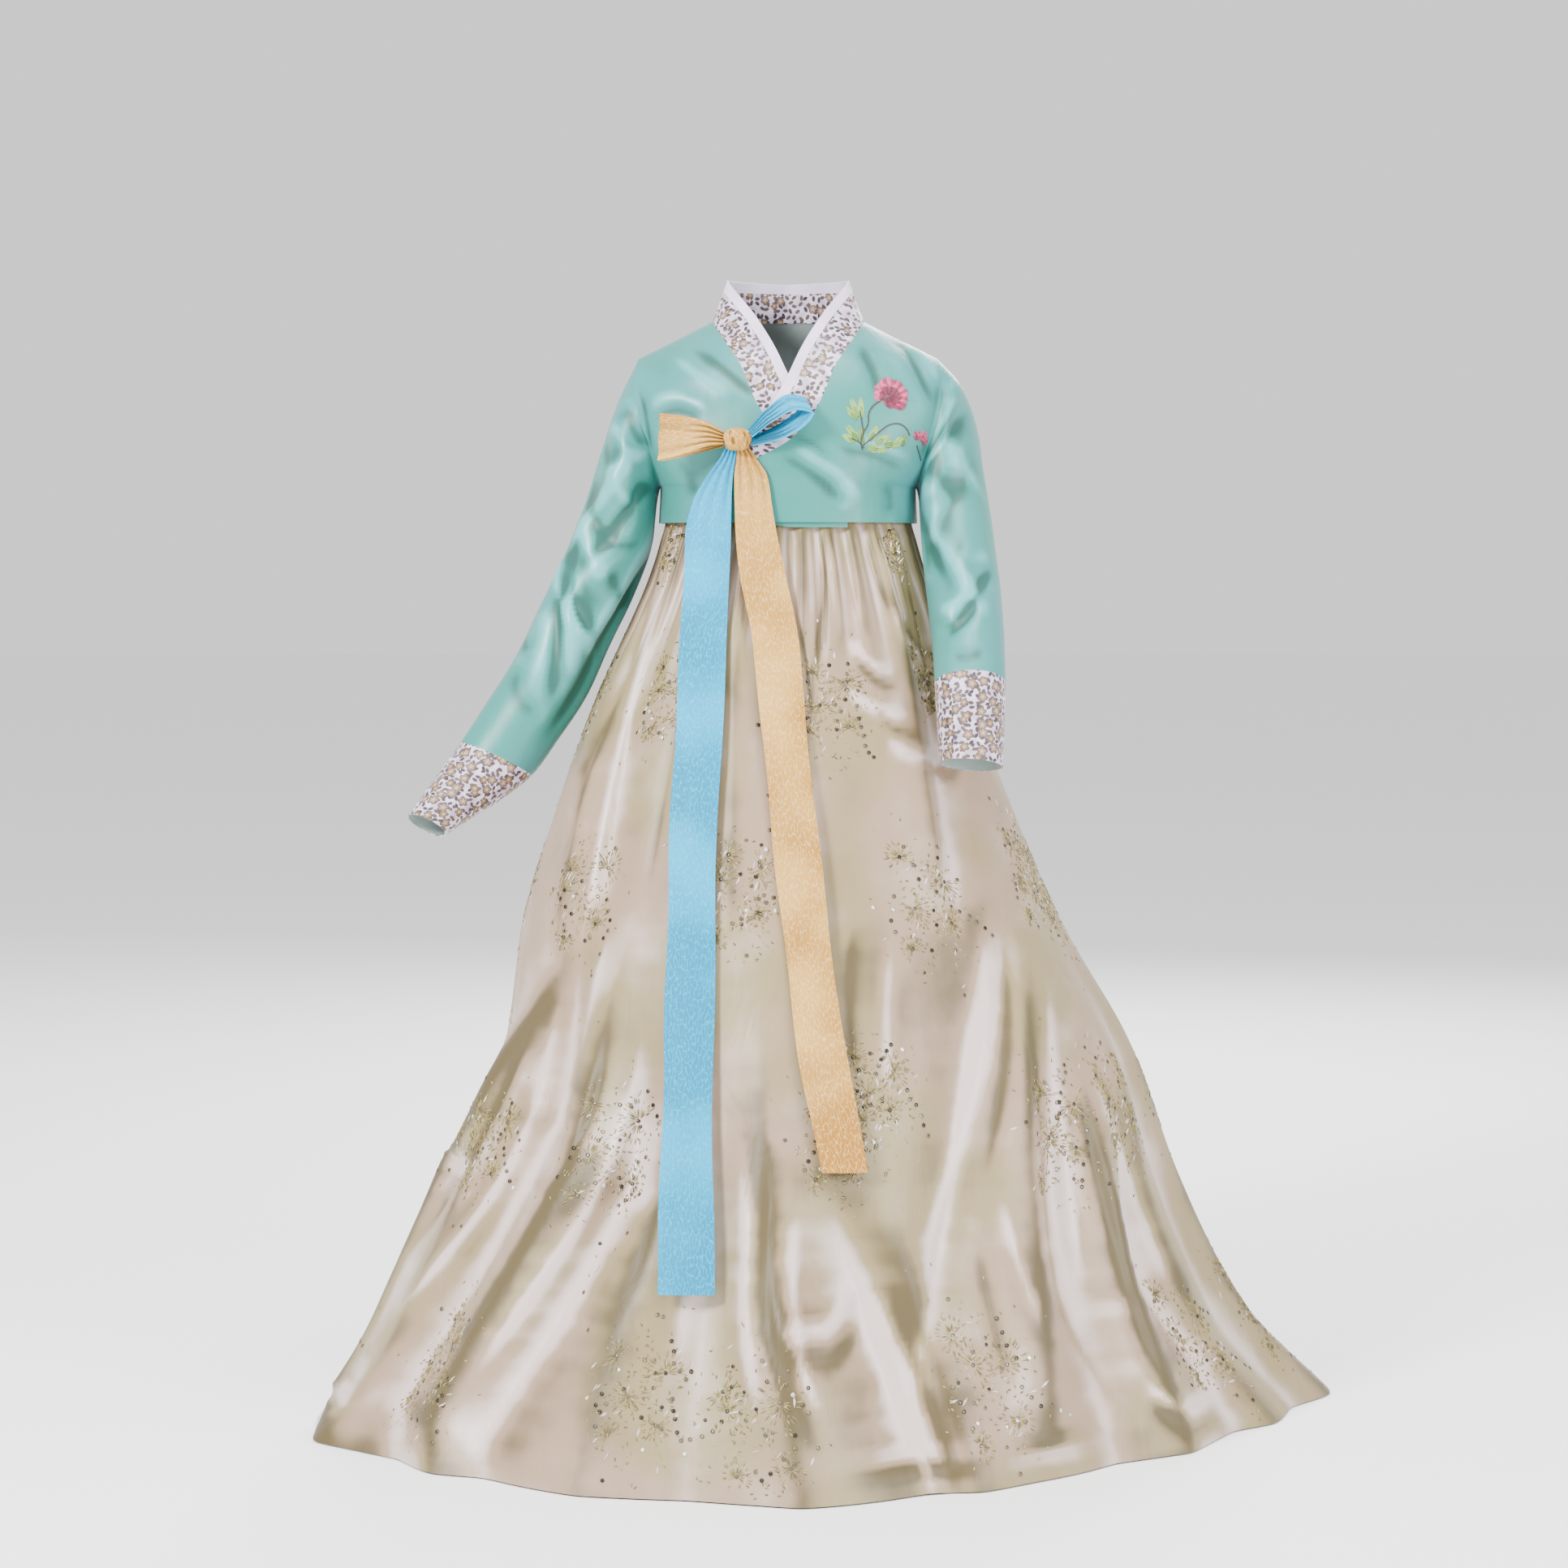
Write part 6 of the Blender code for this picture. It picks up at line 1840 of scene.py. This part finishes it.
def spray(seed):
    """For each kind of stitch, its places across and up, turn, length, width and tone."""
    rng = np.random.default_rng(seed)
    sewn = {kind: [] for kind in SPRAY_KINDS}
    lean = rng.choice([-1, 1]) * rng.uniform(0.5, 0.9)
    across, up, turn = 0.030 * np.sign(lean), -0.052, math.pi / 2 + lean
    for _ in range(15):
        sewn["stem"].append((across, up, turn, 0.0082, 0.0015, rng.uniform()))
        across, up = across + STEM_STEP * math.cos(turn), up + STEM_STEP * math.sin(turn)
        turn -= lean * 0.13
    for fan_across, fan_up, size in zip(*FANS.values()):
        middle = np.array([fan_across, fan_up]) + rng.normal(0, 0.006, 2)
        facing = rng.uniform(0, 2 * math.pi)
        for share in np.linspace(-0.5, 0.5, 20):
            for inner, shortest, longest in ((0.002, 0.006, 0.010), (0.011, 0.004, 0.008)):
                angle = facing + 4.4 * share + rng.normal(0, 0.09)
                length = size * rng.uniform(shortest, longest)
                reach = size * inner + length / 2
                place = middle + (reach * math.cos(angle), reach * math.sin(angle))
                sewn["fan"].append((*place, angle, length, 0.0019, rng.uniform()))
        sewn["sequin"].append((*middle, 0, 0.0052, 0.0052, rng.uniform(0, 0.8)))
    for across, up in rng.normal(0, (0.024, 0.034), (CLOUD_STITCHES, 2)):
        sewn["cloud"].append((across, up, rng.uniform(0, 3.1), 0.0044, 0.0025, rng.uniform()))
    slant = rng.uniform(0.3, 1.1)
    for across, up in rng.normal(0, (0.026, 0.030), (16, 2)):
        sewn["pale"].append((across, up, slant + rng.normal(0, 0.35), rng.uniform(0.009, 0.014), 0.0036,
                             rng.uniform()))
    for across, up, count in ((-0.032, 0.004, 4), (0.026, 0.050, 5), (0.034, 0.000, 6)):
        heading = rng.uniform(-2.4, -0.8)
        for _ in range(count):
            place = rng.normal(0, 0.0012, 2) + (across, up)
            sewn["sequin"].append((*place, 0, 0.0054, 0.0054, rng.uniform(0, 0.93)))
            across += SEQUIN_PITCH * math.cos(heading)
            up += SEQUIN_PITCH * math.sin(heading)
            heading += rng.normal(0, 0.28)
    for across, up in rng.normal(0, (0.026, 0.036), (16, 2)):
        size = rng.uniform(0.0044, 0.0056)
        sewn["sequin"].append((across, up, 0, size, size, rng.uniform()))
    return {kind: np.array(rows) for kind, rows in sewn.items()}


print("one spray:", {kind: len(rows) for kind, rows in spray(1).items()})

# %% [markdown]
# ## Sew the sprays onto the skirt
#
# Each spray is placed by its middle: metres across and up from the floor in front and behind, and the
# share of the way round at the sides. From there the grid's own rows and columns carry it, so a spray
# keeps its real size and bends into the folds, as if the cloth had been embroidered flat.

# %% Sew the sprays
FRONT_SPRAYS = table("x* height* size", """
    -141 881 0.85
    47 872 0.9
    175 903 0.75
    -245 647 1
    -57 656 0.95
    160 652 1.05
    287 668 0.85
    -205 372 1.15
    63 382 0.9
    102 445 0.9
    312 380 1.1
    396 395 1
    -362 350 0.9
    -412 105 1.2
    -172 114 1
    -37 83 1.15
    226 113 1.25
    492 105 1.1
    -141 1062 0.45
    130 1060 0.45
""")
BACK_SPRAYS = table("x* height* size", """
    -430 110 1.1
    -235 120 1.15
    -30 90 1.2
    170 120 1.1
    360 100 1.2
    540 110 1
    -300 385 1
    -125 370 1.1
    60 385 1.05
    240 370 1.1
    370 390 0.9
    -200 660 1
    -20 645 1
    170 660 1.05
    -110 890 0.85
    50 880 0.9
    160 895 0.75
""")
SIDE_SPRAYS = table("share height* size", """
    0.236 120 1.1
    0.262 400 1.05
    0.24 640 1
    0.258 880 0.85
    0.752 115 1.15
    0.766 390 1.05
    0.736 650 0.95
    0.748 890 0.8
""")
# How much wider and taller than laid out each spray is sewn, and the bare edge at the hem
SPRAY_WIDER = 1.15
SPRAY_TALLER = 1.25
HEM_BARE = 0.012


def on_skirt(rows, columns):
    """Points and normals of the skirt between its grid's rows and columns."""
    top = np.clip(np.floor(rows).astype(int), 0, SKIRT_ROWS - 1)
    left = np.floor(columns).astype(int)
    down, side = (rows - top)[:, None], (columns - left)[:, None]
    first, second = left % SKIRT_COLUMNS, (left + 1) % SKIRT_COLUMNS

    def blend(grid):
        upper, lower = (grid[row, first] * (1 - side) + grid[row, second] * side for row in (top, top + 1))
        return upper * (1 - down) + lower * down
    return blend(skirt_points), unit(blend(skirt_normals))


def skirt_middles():
    """The grid's row and column at each spray's middle, and the spray's size."""
    for facing, sprays in ((-1, FRONT_SPRAYS), (1, BACK_SPRAYS)):
        hidden = np.where(skirt_normals[..., 1] * facing > 0, 0, 9)
        for x, height, size in zip(*sprays.values()):
            away = hidden + np.hypot(skirt_points[..., 0] - x, skirt_points[..., 2] - height)
            yield *np.unravel_index(np.argmin(away), away.shape), size
    for share, height, size in zip(*SIDE_SPRAYS.values()):
        yield np.argmin(np.abs(skirt_heights - height)), int(share * SKIRT_COLUMNS), size


def skirt_chart(row, column):
    """Turns places in metres round a middle into fractional rows and columns of the grid."""
    near = (column + np.arange(-20, 21)) % SKIRT_COLUMNS
    down = lengths_along(skirt_points[:, column])
    pitch = np.linalg.norm(np.diff(skirt_points[:, near], axis=1), axis=2).mean(axis=1)

    def chart(across, up):
        rows = np.interp(down[row] - up, down, np.arange(len(down)))
        return rows, column + across / np.interp(rows, np.arange(len(down)), pitch)
    return chart


def sew_sprays():
    gathered = {kind: [] for kind in SPRAY_KINDS}
    for seed, (row, column, size) in enumerate(skirt_middles(), start=11):
        chart = skirt_chart(row, column)
        for kind, rows in spray(seed).items():
            across, up, turn, length, width, tone = rows.T
            across, up = across * size * SPRAY_WIDER, up * size * SPRAY_TALLER
            places, outs = on_skirt(*chart(across, up))
            ahead, _ = on_skirt(*chart(across + 0.002 * np.cos(turn), up + 0.002 * np.sin(turn)))
            thinned = np.arange(len(rows)) * 0.618 % 1 < size + 0.15
            kept = thinned & (places[:, 2] > HEM_BARE)
            parts = (places, outs, ahead - places, length, width, tone)
            gathered[kind].append([part[kept] for part in parts])
    for kind, (shape, thread, thick) in SPRAY_KINDS.items():
        places, outs, alongs, length, width, tone = map(np.concatenate, zip(*gathered[kind]))
        places[:, 2] -= SHOULDER_HEIGHT
        sizes = np.stack([length, width, width * thick], axis=-1)
        sew(f"skirt_{kind}_work", shape, thread, places, outs, unit(alongs), sizes, tone)


sew_sprays()

# %% [markdown]
# ## The flower on the chest
#
# On the wearer's left chest a flower is embroidered in satin stitch: long threads laid side by side
# until they fill a petal. Each petal below is a fan of such threads in two rows, deep pink at its
# base and pale at its rim. The leaves are loose green strokes and the stems are dark chains. Each
# place is given as the camera sees it, and a ray finds the cloth there.

# %% Sew the chest flower
from mathutils import Vector
from mathutils.bvhtree import BVHTree

PETALS = table("x height facing length width base tip", """
    123 1254 100 21 19 0.15 0.75
    121 1253 140 19 17 0.3 0.9
    127 1252 62 21 18 0.1 0.65
    130 1250 25 19 17 0.2 0.8
    119 1251 180 15 14 0.25 0.95
    128 1249 -15 20 16 0.05 0.6
    122 1254 120 13 12 0 0.5
    128 1254 60 13 12 0.05 0.85
    123 1251 -60 17 17 0 0.3
    128 1248 -38 20 14 0 0.45
    125 1252 85 9 10 0 0.35
    162 1196 60 14 11 0.55 0.95
    160 1197 105 12 9 0.2 0.7
    163 1194 20 10 9 0.05 0.55
""")
LEAVES = table("x height facing length width base tip", """
    86 1226 112 24 7 0.5 0.9
    84 1222 128 20 6 0.4 0.8
    90 1224 92 26 6 0.6 1
    86 1196 126 24 8 0.3 0.8
    82 1195 150 18 7 0.5 0.9
    92 1194 100 20 6 0.2 0.6
    100 1196 62 22 7 0.4 0.9
    108 1193 30 20 8 0.5 0.9
    118 1190 10 22 9 0.3 0.7
    128 1189 40 18 8 0.4 0.8
    140 1190 75 15 6 0.1 0.5
    97 1188 -10 26 8 0.6 1
""")
STEMS = [
    (117, 1247, 104, 1240, 98, 1229, 99, 1217, 92, 1206, 89, 1196, 91, 1186),
    (91, 1190, 100, 1197, 113, 1208, 123, 1216, 136, 1218, 145, 1212, 149, 1203),
    (78, 1199, 86, 1196, 93, 1188),
    (92, 1204, 91, 1217, 88, 1232),
    (158, 1190, 161, 1180, 163, 1172),
]


def petal_threads(shapes, threads):
    """Each petal or leaf as two rows of threads: x, height, turn, length, width and tone."""
    rows = []
    for x, height, facing, length, width, base, tip in zip(*shapes.values()):
        facing = math.radians(facing)
        for u in np.linspace(-1, 1, threads):
            whole = length * (1 - 0.55 * u ** 2)
            angle = facing + 0.28 * u * width / length * 2
            side = 0.3 * u * width
            start = np.array([x - math.sin(facing) * side, height + math.cos(facing) * side])
            way = np.array([math.cos(angle), math.sin(angle)])
            for part, share, tone in ((0.27, 0.58, base), (0.74, 0.56, tip)):
                middle = start + way * whole * part
                tone = tone + 0.22 * math.sin(9 * u + x)
                rows.append((*middle, angle, whole * share, 1.7 * width / threads, tone))
    return np.array(rows)


def stem_threads():
    rows = []
    for places in STEMS:
        line = rounded(np.array(places, float).reshape(-1, 2))
        lengths = lengths_along(line)
        for at in np.arange(0.8, lengths[-1], 1.9):
            here, ahead = (np.array([np.interp(s, lengths, line[:, i]) for i in (0, 1)])
                           for s in (at, at + 0.5))
            way = ahead - here
            rows.append((*here, math.atan2(way[1], way[0]), 3.8, 2.1, 0.1 + 0.4 * (len(rows) % 3)))
    return np.array(rows)


def sew_as_seen(name, rows, thread, thick, lift):
    """Sews stitches that are given in millimetres as seen onto the wearer's left chest."""
    piece = finished_pieces["jacket_front_left"]
    tree = BVHTree.FromObject(piece, bpy.context.evaluated_depsgraph_get())
    eye = Vector(CAMERA_PLACE)

    def hit(x, height):
        aim = Vector((x / 1000, 0, height / 1000 - SHOULDER_HEIGHT)) - eye
        return tree.ray_cast(eye, aim.normalized())[:2]

    kept = []
    for x, height, turn, length, width, tone in rows:
        place, out = hit(x, height)
        ahead, _ = hit(x + 0.5 * math.cos(turn), height + 0.5 * math.sin(turn))
        if place is not None and ahead is not None:
            size = np.array([length, width, width * thick]) / 1000
            kept.append((*place, *out, *(ahead - place), *size, tone))
    places, outs, alongs, sizes, tones = np.split(np.array(kept), (3, 6, 9, 12), axis=1)
    sew(name, stitch, thread, places, outs, unit(alongs), sizes, tones[:, 0], lift)


pink_thread = thread_material("pink_thread", (0.070, 0.0, 0.014), (0.26, 0.0, 0.048),
                              (0.58, 0.075, 0.20), 0.0, 0.45)
green_thread = thread_material("green_thread", (0.03, 0.10, 0.012), (0.11, 0.25, 0.035),
                               (0.30, 0.46, 0.12), 0.0, 0.45)
dark_thread = thread_material("dark_thread", (0.006, 0.012, 0.006), (0.012, 0.022, 0.01),
                              (0.03, 0.04, 0.02), 0.0, 0.5)
sew_as_seen("chest_leaves", petal_threads(LEAVES, 9), green_thread, 0.5, 0.0002)
sew_as_seen("chest_stems", stem_threads(), dark_thread, 0.8, 0.0004)
sew_as_seen("chest_petals", petal_threads(PETALS, 15), pink_thread, 0.5, 0.0003)

for shape in (stitch, short, stroke, sequin):
    bpy.data.objects.remove(shape)

# %% [markdown]
# ## Hang each piece on the frame
#
# The last step hangs each piece of cloth on the frame's root and hides the solid that it stands for.
# The table also lists each piece's finish and how large the cloth was when it was cut. A sewn
# garment is flat cloth first, so each sheet carries the width and length of its cut, and its area
# where the cut isn't a rectangle.

CLOTHS = {
    "jacket_front_left": ("jeogori_front_left", "jade_satin", 0.30, 0.26, 0.055, "draped"),
    "jacket_front_right": ("jeogori_front_right", "jade_satin", 0.30, 0.26, 0.055, "draped"),
    "jacket_back": ("jeogori_back", "jade_satin", 0.46, 0.27, 0.11, "draped"),
    "sleeve_cloth_left": ("sleeve_left", "jade_satin", 0.34, 0.42, 0.11, "draped"),
    "sleeve_cloth_right": ("sleeve_right", "jade_satin", 0.34, 0.50, 0.15, "draped"),
    "cuff_cloth_left": ("cuff_left", "floral_print", 0.24, 0.105, None, "draped"),
    "cuff_cloth_right": ("cuff_right", "floral_print", 0.21, 0.13, None, "draped"),
    "collar_strip": ("git", "floral_print", 0.045, 0.75, None, "folded"),
    "collar_facing": ("dongjeong", "white_facing", 0.014, 0.68, None, "folded"),
    **{f"skirt_{part}": (f"chima_{part}", "champagne_satin", 0.62, 1.20, 0.50, "gathered")
       for part in SKIRT_SEAMS},
    "chest_band": ("chima_band", "band_cotton", 0.78, 0.085, None, "stretched"),
    "strap_left": ("chima_strap_left", "band_cotton", 0.028, 0.33, None, "draped"),
    "strap_right": ("chima_strap_right", "band_cotton", 0.028, 0.33, None, "draped"),
    "ribbon_tail_blue": ("goreum_tail_blue", "blue_ribbon", 0.063, 1.00, None, "hung"),
    "ribbon_tail_peach": ("goreum_tail_peach", "peach_ribbon", 0.056, 0.86, None, "hung"),
    "bow_loop_peach": ("goreum_loop_peach", "peach_ribbon", 0.045, 0.18, None, "folded"),
    "bow_loop_blue": ("goreum_loop_blue", "blue_ribbon", 0.030, 0.20, None, "folded"),
}

for name, (node, slot, width, length, area, held) in CLOTHS.items():
    piece = finished_pieces[name]
    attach(piece, "root")
    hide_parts(node)
for name in [name for name in finished_pieces if name not in CLOTHS]:
    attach(finished_pieces[name], "root")
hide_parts("goreum_knot")
print("declared:", len(CLOTHS), "sheets of cloth")
